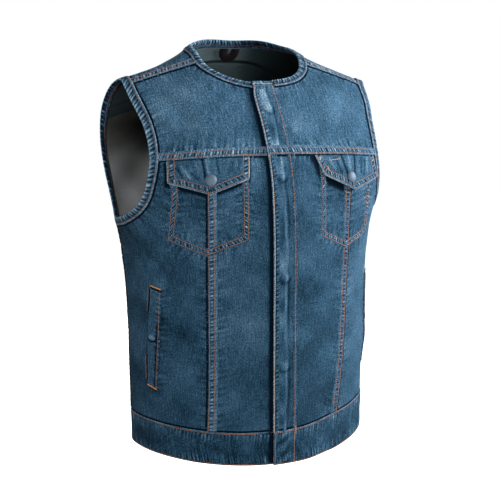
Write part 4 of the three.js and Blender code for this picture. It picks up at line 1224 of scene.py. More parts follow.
flapForm = {"wall": 2.0, "rise": 2.1, "stand": {"right": 2.0, "left": 5.2}, "reach": 55,
            "rows": (2.4, 10.2), "rowWide": (0.7, 0.9), "pleatShade": 0.75, "pitch": 5.2, "pucker": 0.7,
            "step": 1.25, "corner": 4.0, "seat": 0.2, "cloud": (22, 0.06), "shadowDepth": 1.6,
            "shadow": {"right": (-1.0, -2.4, 2.3), "left": (-3.8, -2.8, 4.4)}}


def segmentField(x, run, ends):
    # distance from the nearest of a chain of segments, and how far along the chain
    best, along, start = np.full(x.shape, 1e9), np.zeros(x.shape), 0.0
    for (x0, r0), (x1, r1) in zip(ends[:-1], ends[1:]):
        wx, wr = x1 - x0, r1 - r0
        size = math.hypot(wx, wr)
        t = np.clip(((x - x0) * wx + (run - r0) * wr) / size**2, 0, 1)
        away = np.hypot(x - x0 - t * wx, run - r0 - t * wr)
        along = np.where(away < best, start + t * size, along)
        best = np.minimum(best, away)
        start += size
    return best, along


def flapShadow(side, points, places):
    # painted shadow: the panels are darker round a flap's lower edges
    x, run, wide = flapForm["shadow"][side]
    away, _ = segmentField(points[..., 0] - x, places[..., 1] - run, flaps[side]["corners"])
    return np.where(np.abs(places[..., 0]) < 90, flapForm["shadowDepth"] * bell(away, wide), 0)


# placket: the left front's folded edge, its inner row, a ridge and the snaps felt through it
placket = {
    "innerRow": 12, "snapX": -7, "snapRuns": [-114, -213, -361, -494], "paler": 0.17, "patch": 0.3,
    "ridge": {"at": -5.5, "wide": 1.6, "height": 1.1, "wear": 0.5},
    "groove": {"at": -0.3, "wide": 1.7, "height": -0.9, "wear": -0.6},
    "bump": {"radius": 7.2, "height": 1.8, "wear": 0.3, "ringOff": 1.8, "ringWide": 1.6, "ringShadow": -0.5},
}
# the placket's folded edge: painted darker below the fold as its shade, worn pale along the fold, darker at
# its row as its shade
foldEdge = {
    "width": 9,
    "top": [(-0.2, -1.9, 0, -1.4), (-1.0, -0.8, 0.1, -1.2), (-1.2, 0.6, 0.1, -0.4), (-0.7, 1.75, 0.25, 0.6),
            (0.2, 2.1, 0.3, 0.8), (1.3, 1.75, 0.05, 0.1), (2.3, 1.7, 0.1, -0.7), (3.3, 2.05, 0.35, -0.05),
            (5.2, 2.05, 0.5, 0), (7.4, 1.85, 0.25, 0), (9.6, 1.4, 0, 0)],
    "under": [(8.6, 0.9), (1.2, -1.9)],
    "rows": [1.2], "pitch": 6.2, "slant": 0.4,
}
# the placket's inner row, painted darker at the row as its shade
singleRow = {
    "width": 4,
    "top": [(-4.0, 1.35, 0, 0), (-2.2, 1.9, 0.25, 0.1), (-0.8, 1.85, 0.1, 0), (0.0, 1.6, 0, -0.4),
            (0.8, 1.85, 0.1, 0), (2.2, 1.9, 0.25, 0.05), (4.0, 1.35, 0, 0)],
    "under": [(3.0, 1.0), (-3.0, 1.0)],
    "rows": [0], "pitch": 6.5, "slant": 0.3,
}


def placketShape(places):
    # ridge, groove and snap bumps of the placket, as height and tone; slow waves keep them uneven.
    # The ridge is worn paler, the groove is painted shade, and each bump has a painted highlight with a
    # painted shadow crescent below it
    x, run = form(places)[..., 0], places[..., 1]
    front = (run < 0) & (np.abs(places[..., 0]) < 90)
    bend = 0.9 * np.sin(run / 29) + 0.5 * np.sin(run / 11)
    swells = {"ridge": 0.6 + 0.4 * np.sin(run / 17), "groove": 0.7 + 0.3 * np.sin(run / 23)}
    height = 0
    cloudy = np.sin(run / 9 + 2 * np.sin(run / 31))
    wear = placket["patch"] * bell(x - placket["ridge"]["at"] + 6, 5) * cloudy
    for line, swell in swells.items():
        shape = bell(x - bend - placket[line]["at"], placket[line]["wide"]) * swell
        height = height + placket[line]["height"] * shape
        wear = wear + placket[line]["wear"] * shape
    wear = wear + placket["paler"] * ease(placket["innerRow"] - 4, placket["innerRow"] - 12, x)
    bump = placket["bump"]
    for at in placket["snapRuns"]:
        away = np.hypot(x - placket["snapX"], run - at)
        raised = bell(away, bump["radius"], 4)
        below = bell(away - bump["radius"] - bump["ringOff"], bump["ringWide"]) * ease(at + 2, at - 3, run)
        height = height + bump["height"] * raised
        wear = wear + bump["wear"] * raised + bump["ringShadow"] * below
    return np.where(front, height, 0), np.where(front, wear, 0)


def leftRelief(places, points):
    return panelRelief(places, points) + placketShape(places)[0]


def leftShade(places, points):
    own = panelShade(places, points) - flapShadow("left", points, places)
    return own + placketShape(places)[1]


def crossingRise(side):
    # pocket rows climb over the upright seam that they cross
    seam, sign = (cutLines["frontSeamLeft"], -1) if side == "left" else (cutLines["frontSeamRight"], 1)
    base = onLeft if side == "left" else onPanel

    def rise(places):
        away = form(places)[..., 0] - seamX(seam, places[..., 1]) - sign * lapSeam["width"] / 2
        return base(places) + 1.3 * bell(away, 8, 4)
    return rise


def uprightPath(x, fromRun, toRun):
    runs = np.linspace(fromRun, toRun, 300)
    return placeAt(x(runs), runs)


pieces = {name: [] for name in cuts}
for name, grids in cuts.items():
    left = name in ("front_yoke_left", "front_centre_left")
    shape, shade, rise = (leftRelief, leftShade, lapRise) if left else (panelRelief, rightShade, noRise)
    pieces[name].append(shell(grids, clothSizes["denim"], rise, shape, shade, washAndLightOf(name)))
print("panels shaped")

for seed, (piece, edge, inner, section, rise, group) in enumerate(strips):
    pieces[piece].append(seamStrip(edge, inner, section, seed, rise, washAndLightOf(piece)))
    sewSection(group, edge, inner, section, rise, 0.0, seed * 3)
for k, (side, rows) in enumerate(pockets.items()):
    # a pocket's rows cross the front seam and run on over both panels
    rise = crossingRise(side)
    outer, inner = pocketPath(rows["outer"], 40), pocketPath(rows["inner"], 40)
    made = seamStrip(outer, inner, flatRows, 60 + k, rise, washAndLightMap["lower"], 0.8)
    pieces["front_centre_" + side].append(made)
    sewSection("front", outer, inner, flatRows, rise, -0.05, 70 + 2 * k)

# painted shadow strips beside each welt's outer edge, standing for the gap under it
for side, sign in (("right", -1), ("left", 1)):
    for start, end in welt["open"]:
        downs = np.linspace(start, end, 60)
        edge, inner, row = (weltPlace(q, downs) * np.array([sign, 1]) for q in (1, 1.19, 1.26))
        pieces["front_side_" + side].append(seamStrip(edge, inner, shadowGutter, 90, onPanel, washAndLightMap["lower"]))
        sewRow("front", row, 1.9, onPanel, -0.25, 91)

neckTopRun = -cutLines["neck"]["front"] - clothSizes["bindStart"] - 2
rowX = placket["innerRow"] - 1
for k, (piece, top, foot) in enumerate([("front_yoke_left", neckTopRun, -yokeRun),
                                        ("front_centre_left", -yokeRun, -bandRun)]):
    edge, inner = (uprightPath(lambda r: placketX(r) + into, top, foot) for into in (0, foldEdge["width"]))
    pieces[piece].append(seamStrip(edge, inner, foldEdge, 80 + k, onLeft, washAndLightOf(piece)))
    sewSection("front", edge, inner, foldEdge, onLeft, (0.0, 0.45)[k], 82 + k)
    edge, inner = (uprightPath(upright(rowX + into), top, foot) for into in (0, singleRow["width"]))
    pieces[piece].append(seamStrip(edge, inner, singleRow, 84 + k, onLeft, washAndLightOf(piece)))
    sewSection("front", edge, inner, singleRow, onLeft, 0.02, 86 + k)
# the placket's top end is folded in flat and sewn across
topSection = dict(foldEdge, rows=[3.4])
topEnd = levelEdge(placketX(neckTopRun) + 0.5, cutLines["neckEndLeft"] - 1, neckTopRun - 0.8,
                   -foldEdge["width"])
pieces["front_yoke_left"].append(seamStrip(*topEnd, topSection, 88, onLeft, washAndLightMap["yoke"]))
sewSection("front", *topEnd, topSection, onLeft, 0.05, 89)
print("seams lapped")

for name, grids in cuts.items():
    # the back yoke's lobes run on over the shoulders
    dress(name, pieces[name], denim, "denim", *flatSize(grids, 0.08 if name == "back_yoke" else 0))
print("panels made")


def bindLoop(name, halves, beside, seed, rise, closed):
    length = sum(lengths(edge)[-1] for edge, _ in halves) / 1000
    made = [bindStrip(halves, seed, rise, closed)]
    # painted shadow strips on the panel beside the binding
    for inner, beyond in beside:
        made.append(seamStrip(inner, beyond, shadowGutter, seed, withPuckers(rise), washAndLightMap["lower"]))
    dress(name, made, trimDenim, "denim_trim", (0.03, round(length, 3)))
    for k, (edge, inner) in enumerate(halves):
        path = mix(edge, inner, bindSection["row"] / bindSection["width"])
        sewRow("trim", path, 3.2, rise, -0.22, seed + k)
        path = mix(edge, inner, bindSection["backRow"] / bindSection["width"])
        sewRow("trim", path, -2.1, rise, -0.35, seed + k, inside=True)


def neckBoth(by):
    left, right = neckRow(by, cutLines["neckEndLeft"]), neckRow(by, cutLines["neckEndRight"])
    return chain(left, mirror(right)[::-1])


beyond = clothSizes["bindEnd"] + shadowGutter["width"]
armBeyond = armRow(beyond)
leftArm = [(armEdge[0], armInner[0]), (armEdge[1], armInner[1])]
leftShadeBeside = [(armInner[0], armBeyond[0]), (armInner[1], armBeyond[1])]
bindLoop("neck_binding", [(neckBoth(clothSizes["bindStart"]), neckBoth(clothSizes["bindEnd"]))],
         [(neckBoth(clothSizes["bindEnd"]), neckBoth(beyond))], 101, leftLapRise, False)
bindLoop("armhole_binding_left", leftArm, leftShadeBeside, 104, noRise, True)
bindLoop("armhole_binding_right", [(mirror(e), mirror(i)) for e, i in leftArm],
         [(mirror(e), mirror(i)) for e, i in leftShadeBeside], 107, noRise, True)
neckStart, neckTurn = neckBoth(clothSizes["bindStart"])[0], neckBoth(clothSizes["bindEnd"])[0]
sewRow("trim", straight(neckStart, neckTurn, 20) + np.array([0.7, 0]), 3.7, leftLapRise, 0.1, 103)
print("bindings turned")

# rows and their puckers; the small folds beside the placket's end are painted as light and shade
band = {
    "topRow": 2.2, "hemRow": 50.0, "rowWide": 0.9, "pitch": 6.0, "hemPitch": 5.1, "reach": 8.5,
    "pucker": 0.7, "wear": 0.85, "along": 1.35, "rows": 34, "foldAt": -6, "foldReach": 13, "fold": 0.28,
    "topAt": 5, "hemAt": 46, "lapShadowDepth": 1.8, "lapShadowReach": 4.4, "edgeWear": 0.7, "middle": 0.08,
    "relief": (42, 0.3, 14), "clouds": [(30, 0.1, 15), (9, 0.08, 17)],
}


def bandRise(places):
    lapping = places[..., 0] < -270
    lifted = lapRise(places + np.array([360, 0]))
    return clothSizes["bandRise"] + np.where(lapping, lifted, 0)


def bandShape(places):
    # puckers that hang from the band's top row and stand on its hem row, as height and tone; their tone
    # is partly wear and partly painted light and shade, and the sunk rows are painted darker as their shade
    down = np.abs(places[..., 1]) - bandRun
    along = np.interp(places[..., 0], arcAngles, arcSums)
    topWave = rope(along + 0.15 * down, 121, band["pitch"])
    hemWave = rope(along - 0.2 * down, 122, band["hemPitch"])
    top = np.exp(-np.abs(down - band["topAt"]) / band["reach"]) * ease(1.2, 4, down)
    hem = np.exp(-np.abs(down - band["hemAt"]) / band["reach"]) * ease(51, 48, down)
    rows = bell(down - band["topRow"], band["rowWide"]) + bell(down - band["hemRow"], band["rowWide"])
    edge = ease(1.4, 0, down) + ease(50.8, 52, down)
    height = band["pucker"] * (top * topWave + hem * hemWave) - 0.4 * rows - 0.8 * edge
    patchy = 0.75 + 0.5 * np.sin(along / 13 + 2 * np.sin(along / 37))
    wear = band["wear"] * patchy * (top * crisp(topWave) + hem * crisp(hemWave))
    wear = wear - 0.4 * rows + band["edgeWear"] * ease(1.5, 0.8, down)
    return height, wear + 0.12 * top - band["middle"] * ease(12, 22, down) * ease(44, 34, down)


def bandRelief(places, points):
    size, amount, seed = band["relief"]
    return bandShape(places)[0] + amount * softNoise(points, size, seed)


def bandShade(places, points):
    # painted shadow under the lapping end, worn along its edge, and painted light and shade of small folds
    # beside it
    x, down = form(places)[..., 0], np.abs(places[..., 1]) - bandRun
    lapping = places[..., 0] < -270
    under = band["lapShadowDepth"] * bell(x - edgeX + 0.5, band["lapShadowReach"])
    under = np.where(places[..., 0] > -60, under, 0)
    end = band["edgeWear"] * ease(1.6, 0.6, x - edgeX)
    fold = bell(x - band["foldAt"], band["foldReach"]) * np.sin((down + 0.6 * x) / 2.6 + np.sin(down / 9))
    cloud = sum(amount * softNoise(points, size, seed) for size, amount, seed in band["clouds"])
    return bandShape(places)[1] + cloud + np.where(lapping, end + band["fold"] * fold, 0) - under


def bandEnds(run):
    return angleAt(cutLines["placketInner"], run), angleAt(edgeX, run) - 360


def bandGrid():
    middle = -(bandRun + hemRun) / 2
    first, last = bandEnds(middle)
    line = np.stack([np.linspace(first, last, 1500), np.full(1500, middle)], -1)
    angles = spread(line, stepsFor(line, band["along"]))[:, 0]
    share = (angles - first) / (last - first)
    downs = np.concatenate([[0.2, 0.7, 1.4, 2.2, 3.0], np.linspace(4.4, 47.6, band["rows"] - 10),
                            [49.0, 50.0, 50.8, 51.5, 52.0]])
    rows = []
    for down in downs:
        run = -bandRun - down
        start, end = bandEnds(run)
        rows.append(np.stack([mix(start, end, share), np.full(len(share), run)], -1))
    return np.stack(rows)


bandCut = bandGrid()
bandShell = shell([bandCut], clothSizes["bandWall"], bandRise, bandRelief, bandShade, washAndLightMap["band"])
bandTop = bandCut[0]
# a painted shadow line on the panel along the band's top edge
besideBand = seamStrip(bandTop, bandTop + np.array([0, shadowGutter["width"]]), shadowGutter, 120,
                       lambda p: bandRise(p) - clothSizes["bandRise"] + onPanel(p), washAndLightMap["band"])
bandLength = round(lengths(bandCut[15])[-1] / 1000, 3)
dress("waistband", [bandShell, besideBand], trimDenim, "denim_trim", (bandLength, 0.052))
bandFace = clothSizes["bandWall"]
for down, seed in ((band["topRow"], 130), (band["hemRow"], 131)):
    row = bandCut[int(np.argmin(np.abs(np.abs(bandCut[:, 0, 1]) - bandRun - down)))]
    sewRow("trim", row, bandFace - 0.3, bandRise, 0.0, seed)
for x, seed in ((rowX - 1.5, 132), (edgeX + 2, 133)):
    sewRow("trim", uprightPath(upright(x), -bandRun - 2, -hemRun + 2) - np.array([360, 0]), bandFace + 0.1,
           bandRise, 0.0, seed)
print("waistband set on")


def flapRise(places):
    down = (-yokeRun - places[..., 1]) / flapForm["reach"]
    stand = np.where(places[..., 0] > 0, flapForm["stand"]["left"], flapForm["stand"]["right"])
    return flapForm["rise"] + stand * down**2 + leftLapRise(places)


def flapShape(flap, places):
    x, run = form(places)[..., 0], places[..., 1]
    away, along = segmentField(x, run, flap["corners"])
    first, second = flapForm["rows"]
    inside = np.clip((away - first) / (second - first), 0, 1)
    wave = rope(along + 0.5 * away, 141, flapForm["pitch"])
    bulge = np.sin(math.pi * inside) ** 0.8
    height = flapForm["pucker"] * bulge * wave - 0.8 * ease(1.3, 0, away)
    wear = 1.0 * bulge * crisp(wave) + 0.8 * ease(1.6, 0.8, away)
    # each row sinks in and is painted darker as its shade
    for row in flapForm["rows"]:
        height -= 0.32 * bell(away - row, flapForm["rowWide"][0])
        wear -= 0.4 * bell(away - row, flapForm["rowWide"][1])
    # its top is tucked under the yoke and painted dark there as the yoke's shadow
    tucked = -yokeRun - run
    height -= 1.3 * ease(4, 0.5, tucked)
    wear -= 1.2 * ease(3.0, 1.4, tucked)
    # the pleats are painted paler where they stand up and deeper where they sink, as their light and shade
    for start, end, wide, deep in flap["pleats"]:
        near, _ = segmentField(x, run, [start, end])
        crease = deep * bell(near, wide) * ease(6, 10, away)
        height += crease
        wear += flapForm["pleatShade"] * crease
    return height, wear


def roundedCorners(corners, radius, steps):
    # a chain of corner points with its middle corners rounded
    path = [np.array(corners[0], float)]
    for before, at, after in zip(corners[:-2], corners[1:-1], corners[2:]):
        before, at, after = (np.array(p, float) for p in (before, at, after))
        a = at + (before - at) / np.linalg.norm(before - at) * radius
        b = at + (after - at) / np.linalg.norm(after - at) * radius
        t = np.linspace(0, 1, 9)[:, None]
        path.append((1 - t) ** 2 * a + 2 * t * (1 - t) * at + t**2 * b)
    path.append(np.array(corners[-1], float))
    dense = np.vstack([np.atleast_2d(p) for p in path])
    sums = np.concatenate([[0], np.cumsum(np.linalg.norm(np.diff(dense, axis=0), axis=-1))])
    at = np.linspace(0, sums[-1], steps + 1)
    return np.interp(at, sums, dense[:, 0]), np.interp(at, sums, dense[:, 1])


def flapGrid(flap):
    corners = flap["corners"]
    x, run = roundedCorners(corners, flapForm["corner"], 400)
    rim = placeAt(x, run)
    sums = lengths(rim)
    low, high = (np.argmin(np.hypot(x - c[0], run - c[1])) for c in (corners[1], corners[3]))
    cols, rows = stepsFor(rim[low:high + 1], flapForm["step"]), stepsFor(rim[:low + 1], flapForm["step"])
    left, bottom = spread(rim[:low + 1], rows), spread(rim[low:high + 1], cols)
    right = spread(rim[high:], rows)[::-1]
    return fill(straight(left[0], right[0], cols), bottom, left, right)


def flapRow(flap, into):
    # a row of stitches at a distance inside the flap's edge
    corners = np.array(flap["corners"], float)
    middle = corners.mean(0)
    lines = []
    for a, b in zip(corners[:-1], corners[1:]):
        way = (b - a) / np.linalg.norm(b - a)
        normal = np.array([-way[1], way[0]])
        lines.append((a + normal * into * np.sign((middle - a) @ normal), way))
    points = [lines[0][0]]
    for (p, w), (q, v) in zip(lines[:-1], lines[1:]):
        points.append(p + w * np.linalg.solve(np.stack([w, -v], 1), q - p)[0])
    q, v = lines[-1]
    points.append(q + v * ((-yokeRun - 0.5 - q[1]) / v[1]))
    return placeAt(*roundedCorners(points, max(flapForm["corner"] - into, 1.0), 300))


# a snap cap's radius and height, from its rim to its top
domeProfile = [(8.7, -0.2), (8.9, 0.4), (8.75, 1.0), (8.3, 1.45), (7.7, 1.9), (6.8, 2.55), (5.6, 3.05),
               (4.2, 3.4), (2.6, 3.62), (1.2, 3.7)]


def seatAt(place, height):
    # a point on a face and the directions there
    place = np.array(place, float)
    step = 0.5
    near = np.array([place, place + [step, 0], place - [step, 0], place + [0, step], place - [0, step]])
    p = surface(near, height(near))
    around = (p[1] - p[2]) / np.linalg.norm(p[1] - p[2])
    out = np.cross(around, p[3] - p[4])
    out /= np.linalg.norm(out)
    return p[0], around, np.cross(out, around), out


def dome(place, height, sides=36):
    at, around, up, out = seatAt(place, height)
    turns = np.linspace(0, 2 * math.pi, sides, endpoint=False)
    ringWay = around * np.cos(turns)[:, None] + up * np.sin(turns)[:, None]
    points = [at + ringWay * radius + out * lift for radius, lift in domeProfile]
    points = np.concatenate(points)
    count = len(domeProfile)
    faces = [gridQuads(count, sides, closed=True), np.arange(sides)[None, ::-1],
             np.arange(sides)[None] + (count - 1) * sides]
    flat = np.zeros(len(points))
    return orient(part(points, faces, flat, points, 0.0))


def capSeat(places):
    return flapRise(places) + flapForm["wall"] + flapForm["seat"]


def flapShade(flap, places, points):
    size, amount = flapForm["cloud"]
    return flapShape(flap, places)[1] + amount * softNoise(points, size, 16)


for side, flap in flaps.items():
    grid = flapGrid(flap)
    made = shell([grid], flapForm["wall"], flapRise, lambda p, q: flapShape(flap, p)[0],
                 lambda p, q: flapShade(flap, p, q), washAndLightMap["flap"])
    dress("pocket_flap_" + side, [made], trimDenim, "denim_trim", *flatSize([grid]))
    for k, into in enumerate(flapForm["rows"]):
        sewRow("trim", flapRow(flap, into), flapForm["wall"] - 0.2, flapRise, 0.05, 150 + k)
    cap = dome(placeAt(*flap["snap"]), capSeat)
    obj = makeMesh("flap_snap_" + side + "_cap", cap, snapMetal, 40)
    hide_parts("flap_snap_" + side)
print("flaps and snaps set on")


def barTack(start, end, height, rise, wide, tone):
    # a short dense bar of thread from one place to another
    count = max(4, int(lengths(np.array([start, end]))[-1] / 0.55))
    line = straight(start, end, count)
    centre = surface(line, rise(line) + height)
    out = directions(line)[2]
    way = np.cross(out, centre[-1] - centre[0])
    way *= wide / 2 / np.linalg.norm(way, axis=-1, keepdims=True)
    rng = np.random.default_rng(count)
    threads["trim"].append((centre - way, centre + way, out, tone + rng.uniform(-0.15, 0.15, len(line))))


def weltDown(places):
    return (places[..., 1] - welt["top"]) / (welt["bottom"] - welt["top"])


def weltShape(places):
    # across is counted from the sewn inner edge, along from the top end
    down = weltDown(places)
    start = weltPlace(0, down)[..., 0]
    outer = welt["outer"] + welt["belly"] * np.sin(math.pi * np.clip(down, 0, 1)) ** 2
    share = (np.abs(places[..., 0]) - start) / (outer - welt["inner"])
    long, wide = welt["top"] - welt["bottom"], welt["width"]
    along, across = down * long, share * wide
    edge = np.minimum(across, wide - across)
    bumpAlong, bumpAcross = along - welt["bumpAt"][0] * long, across - welt["bumpAt"][1] * wide
    reach = np.hypot(bumpAlong, bumpAcross)
    bump = bell(reach, welt["bumpRadius"], 4)
    crescentShadow = bell(reach - welt["bumpRadius"] - 1.6, 1.2) * ease(0, 3, bumpAlong)
    wave = rope(along + 0.4 * across, 171, welt["pitch"])
    row = across - welt["row"]
    height = welt["bumpHeight"] * bump - 0.7 * ease(1.5, 0, edge) - 0.35 * bell(row, 0.8)
    height += welt["pucker"] * wave * ease(8, 3, across)
    # paler on the bump; the crescent below it is painted shadow
    wear = 0.55 * bump - 1.3 * crescentShadow + 0.35 * ease(wide - 1.6, wide - 0.6, across)
    wear += 0.5 * crisp(wave) * ease(9, 3, across) - 0.2 * bell(row, 1.2)
    # a painted shadow line beside the row, below the bump
    return height, wear - 1.3 * bell(row - 1.3, 0.9) * ease(0.3, 0.42, down)


def weltRise(places):
    # the welt sinks into the panel at its ends
    down = weltDown(places)
    return welt["rise"] - welt["sink"] * (ease(0.08, 0, down) + ease(0.9, 1, down))


weltRows = np.linspace(0, 1, int((welt["top"] - welt["bottom"]) / welt["step"]))
weltShare = np.concatenate([[0, 0.03, 0.08], np.linspace(0.14, 0.86, welt["across"] - 6), [0.92, 0.97, 1]])
weltGrid = weltPlace(weltShare[None, :], weltRows[:, None])
for side, sign in (("right", -1), ("left", 1)):
    way = np.array([sign, 1])
    made = [shell([weltGrid * way], welt["wall"], weltRise, lambda p, q: weltShape(p)[0],
                  lambda p, q: weltShape(p)[1], washAndLightMap["lower"])]
    # a bar of thread across each end, with a painted shadow strip below it
    for down, rise in ((0.004, weltRise), (0.996, onPanel)):
        ends = weltPlace(np.array([0.03, 0.97]), down) * way + [(0, -2.2), (0, 2.2)]
        barTack(*ends, welt["wall"] + 0.3, weltRise, wide=2.3, tone=-0.02)
        under = straight(*ends, 20) - [0, 1.3]
        made.append(seamStrip(under, under - [0, shadowGutter["width"]], shadowGutter, 92, rise, washAndLightMap["lower"]))
    dress("pocket_welt_" + side, made, denim, "denim", (0.017, 0.165))
    path = weltPlace(welt["row"] / welt["width"], np.linspace(0.01, 0.99, 200)) * way
    sewRow("trim", path, welt["wall"] - 0.25, weltRise, -0.1, 172)
# small bars: at the foot of the placket's row, at the left flap's corner, and a bar on the left flap
bars = [((placket["innerRow"], -bandRun + 4), (placket["innerRow"], -bandRun - 9), 3.0, lapRise, 1.3, 0.05),
        ((76.5, -202), (78.5, -208), flapForm["wall"] + 0.2, flapRise, 1.5, 0.15),
        ((82, -192.5), (103, -190.5), flapForm["wall"] + 0.1, flapRise, 1.0, 0.15)]
for start, end, height, rise, wide, tone in bars:
    barTack(placeAt(*start), placeAt(*end), height, rise, wide, tone)
print("welts set on")


# lining: a front on each side, and an upper and a lower piece behind
liningDepth, liningWall = clothSizes["liningDepth"], clothSizes["lining"]
liningEnds = {"left": 24, "right": -27, "firstColumn": 4}


def liningRise(places):
    return np.full(places.shape[:-1], float(-liningDepth - liningWall))


def liningRelief(places, points):
    return 0.8 * softNoise(points, 70, 21) - 0.9


def liningShade(places, points):
    # painted shade, darker towards the shoulders, and painted light behind the neck down to the seam
    down = places[..., 1]
    behind = (down > 0) * ease(-125, -85, points[..., 2])
    paintedLight = ease(80, 6, points[..., 0]) * ease(-122, -92, points[..., 0]) * behind
    depth = mix(0.48 * ease(-168, -96, points[..., 2]), -0.1, paintedLight)
    return 0.04 * softNoise(points, 60, 22) - depth - 0.12 * paintedLight * ease(73, 76, down)


def frontLiningGrid(side):
    right = side == "right"
    frontX = liningEnds[side]
    row = neckRow(clothSizes["bindLining"], cutLines["neckEndRight" if right else "neckEndLeft"])
    neckPath = cutPath(row, shoulderRun - gap, "before")
    neckPath = neckPath[np.abs(form(neckPath)[:, 0]) > abs(frontX) + liningEnds["firstColumn"]]
    arm = cutPath(armLine[0], shoulderRun - gap, "after")
    runs = np.linspace(arm[-1][1], -bandRun + gap, 60)
    lower = np.stack([sideAngle(runs) - 0.2, runs], -1)
    step = clothSizes["liningStep"]
    armRows, footRows = stepsFor(arm, step), stepsFor(lower, step)
    border = chain(spread(arm, armRows), spread(lower, footRows))
    first = placeAt(abs(frontX), -cutLines["neck"]["front"] - clothSizes["bindLining"])
    top = chain(np.vstack([first, neckPath]), straight(neckPath[-1], border[0], 20))
    cols = stepsFor(top, step)
    top = spread(top, cols)
    foot = placeAt(abs(frontX), -bandRun + gap)
    bottom = spread(straight(foot, border[-1], 60), cols)
    knee = border[armRows][1] - 6
    upperRuns = np.linspace(first[1], knee, armRows + 1)
    lowerRuns = np.linspace(knee, foot[1], footRows + 1)
    runs = np.concatenate([upperRuns, lowerRuns[1:]])
    inside = placeAt(np.full(len(runs), float(abs(frontX))), runs)
    top[0], bottom[0], top[-1], bottom[-1] = inside[0], inside[-1], border[0], border[-1]
    grid = fill(top, bottom, inside, border)
    return mirror(grid) if right else grid


def backLiningGrid():
    arm = cutPath(armLine[1], cutLines["facing"] + gap, "before")[::-1]
    runs = np.linspace(arm[-1][1], bandRun - gap, 60)
    lower = np.stack([180 - sideAngle(runs) - 0.2, runs], -1)
    step = clothSizes["liningStep"]
    border = chain(spread(arm, stepsFor(arm, step)), spread(lower, stepsFor(lower, step)))
    share = np.linspace(0, 1, 121)
    corner = border[0]
    bow = 1 - (2 * share - 1) ** 2
    across = placeAt(form(corner)[0] * (1 - 2 * share), mix(corner[1], cutLines["facing"] + gap, bow))
    cols = stepsFor(across, step)
    top, bottom = spread(across, cols), spread(straight(border[-1], mirror(border[-1]), 60), cols)
    top[0], top[-1] = border[0], mirror(border[0])
    return fill(top, bottom, border, mirror(border))


facingEnd = cutLines["facing"] - gap
linings = {
    "lining_front_right": ([frontLiningGrid("right")], lining, "lining"),
    "lining_front_left": ([frontLiningGrid("left")], lining, "lining"),
    "lining_back_lower": ([backLiningGrid()], lining, "lining"),
    "lining_back_upper": (backGrids(clothSizes["bindLining"], facingEnd, facingEnd), facing,
                          "upper_lining"),
}
for name, (grids, material, slot) in linings.items():
    made = shell(grids, liningWall, liningRise, liningRelief, liningShade)
    dress(name, [made], material, slot, *flatSize(grids))
print("lining set in")

hanger = {"from": -12.5, "to": 9, "run": 56, "drop": 12, "belly": 0.14, "width": 14.5, "wall": 1.5,
          "depth": -4.8, "steps": 60}


def hangerStrap():
    t = np.linspace(0, 1, hanger["steps"] + 1)
    x = mix(hanger["from"], hanger["to"], t - hanger["belly"] * np.sin(2 * math.pi * t))
    path = placeAt(x, hanger["run"] + hanger["drop"] * np.sin(math.pi * t) ** 0.8)
    out = directions(path)[2]
    centre = form(path) + out * (hanger["depth"] + foldAt(path, form(path)))[:, None]
    way = np.gradient(centre, axis=0)
    across = np.cross(out, way)
    across /= np.linalg.norm(across, axis=-1, keepdims=True)
    w, h = hanger["width"] / 2, hanger["wall"]
    section = [(-w, -0.3), (-w, -h + 0.3), (-w + 0.5, -h), (0, -h - 0.2), (w - 0.5, -h), (w, -h + 0.3),
               (w, -0.3), (w - 0.5, 0), (0, 0.1), (-w + 0.5, 0)]
    points = np.stack([centre + across * a + out * b for a, b in section], 1)
    count = len(section)
    faces = [gridQuads(len(t), count, closed=True), np.arange(count)[None, ::-1],
             np.arange(count)[None] + hanger["steps"] * count]
    return orient(part(points, faces, np.zeros(points.shape[0] * count), points, 0.0))


strapPiece = makeMesh("hanger_loop_strap", hangerStrap(), strap, 60)
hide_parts("hanger_loop")
for name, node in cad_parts.items():
    if "snap" in name and not node.hide_render:
        node.data.materials.clear()
        node.data.materials.append(snapMetal)

for group, rows in threads.items():
    obj = makeMesh("topstitching_" + group, stitchMesh(rows), threadCloth, 60)
print("topstitching sewn:", sum(len(r[0]) for rows in threads.values() for r in rows), "stitches")

print("triangles:", sum(triangleCount.values()), triangleCount)

# camera and light
photoView = {"azimuth": -25.4, "elevation": 8.5, "distance": 1.705, "target": (0.005, 0, -0.315),
             "lens": 73.5}
# each light's azimuth, elevation, distance, size and power
lights = {"key": (72, 22, 2.2, 0.45, 94), "fill": (-8, 8, 2.6, 1.4, 41), "side": (-100, 8, 2.6, 1.3, 9),
          "top": (-30, 66, 2.0, 1.0, 6), "back": (165, 12, 2.8, 1.6, 42)}
studio = {"worldLight": 0.3, "backdrop": 1.0, "floorColour": 0.9, "floorGlow": 0.8, "floorZ": -0.9,
          "floorHalf": 6}


def backward(azimuth, elevation):
    a, e = math.radians(azimuth), math.radians(elevation)
    return Vector((math.sin(a) * math.cos(e), -math.cos(a) * math.cos(e), math.sin(e)))


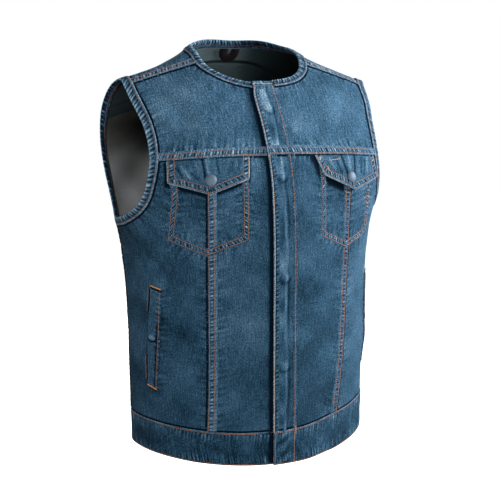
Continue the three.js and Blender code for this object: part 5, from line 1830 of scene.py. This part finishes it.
def addCamera(view):
    camera = bpy.data.objects.new("photoCamera", bpy.data.cameras.new("photoCamera"))
    bpy.context.scene.collection.objects.link(camera)
    back = backward(view["azimuth"], view["elevation"])
    camera.location = Vector(view["target"]) + back * view["distance"]
    camera.rotation_euler = back.to_track_quat("Z", "Y").to_euler()
    camera.data.lens = view["lens"]
    camera.data.clip_start = 0.05
    bpy.context.scene.camera = camera


def addLight(name, azimuth, elevation, distance, size, power):
    lamp = bpy.data.lights.new(name, "AREA")
    lamp.shape = "DISK"
    lamp.size = size
    lamp.energy = power
    obj = bpy.data.objects.new(name, lamp)
    bpy.context.scene.collection.objects.link(obj)
    back = backward(azimuth, elevation)
    obj.location = Vector((0, 0, -0.3)) + back * distance
    obj.rotation_euler = back.to_track_quat("Z", "Y").to_euler()


addCamera(photoView)
for name, values in lights.items():
    addLight(name + "Light", *values)

world = bpy.data.worlds.new("studio")
bpy.context.scene.world = world
world.use_nodes = True
sky = world.node_tree.nodes["Background"]
sky.inputs["Color"].default_value = (1, 1, 1, 1)
# the backdrop shows white, and lights the vest more softly than that
seen = world.node_tree.nodes.new("ShaderNodeLightPath").outputs["Is Camera Ray"]
strength = world.node_tree.nodes.new("ShaderNodeMapRange")
strength.inputs["To Min"].default_value = studio["worldLight"]
strength.inputs["To Max"].default_value = studio["backdrop"]
world.node_tree.links.new(seen, strength.inputs["Value"])
world.node_tree.links.new(strength.outputs[0], sky.inputs["Strength"])
bpy.context.scene.view_settings.view_transform = "Standard"

floorMesh = bpy.data.meshes.new("studioFloor")
half, floorZ = studio["floorHalf"], studio["floorZ"]
floorCorners = [(-half, -half, floorZ), (half, -half, floorZ), (half, half, floorZ), (-half, half, floorZ)]
floorMesh.from_pydata(floorCorners, [], [(0, 1, 2, 3)])
floor = bpy.data.objects.new("studioFloor", floorMesh)
bpy.context.scene.collection.objects.link(floor)
floorMaterial, _, _, floorShader = newMaterial("paleFloor")
floorShader.inputs["Base Color"].default_value = (*[studio["floorColour"]] * 3, 1)
floorShader.inputs["Emission Color"].default_value = (1, 1, 1, 1)
floorShader.inputs["Emission Strength"].default_value = studio["floorGlow"]
floor.visible_diffuse = False
floorShader.inputs["Roughness"].default_value = 0.9
floorMesh.materials.append(floorMaterial)
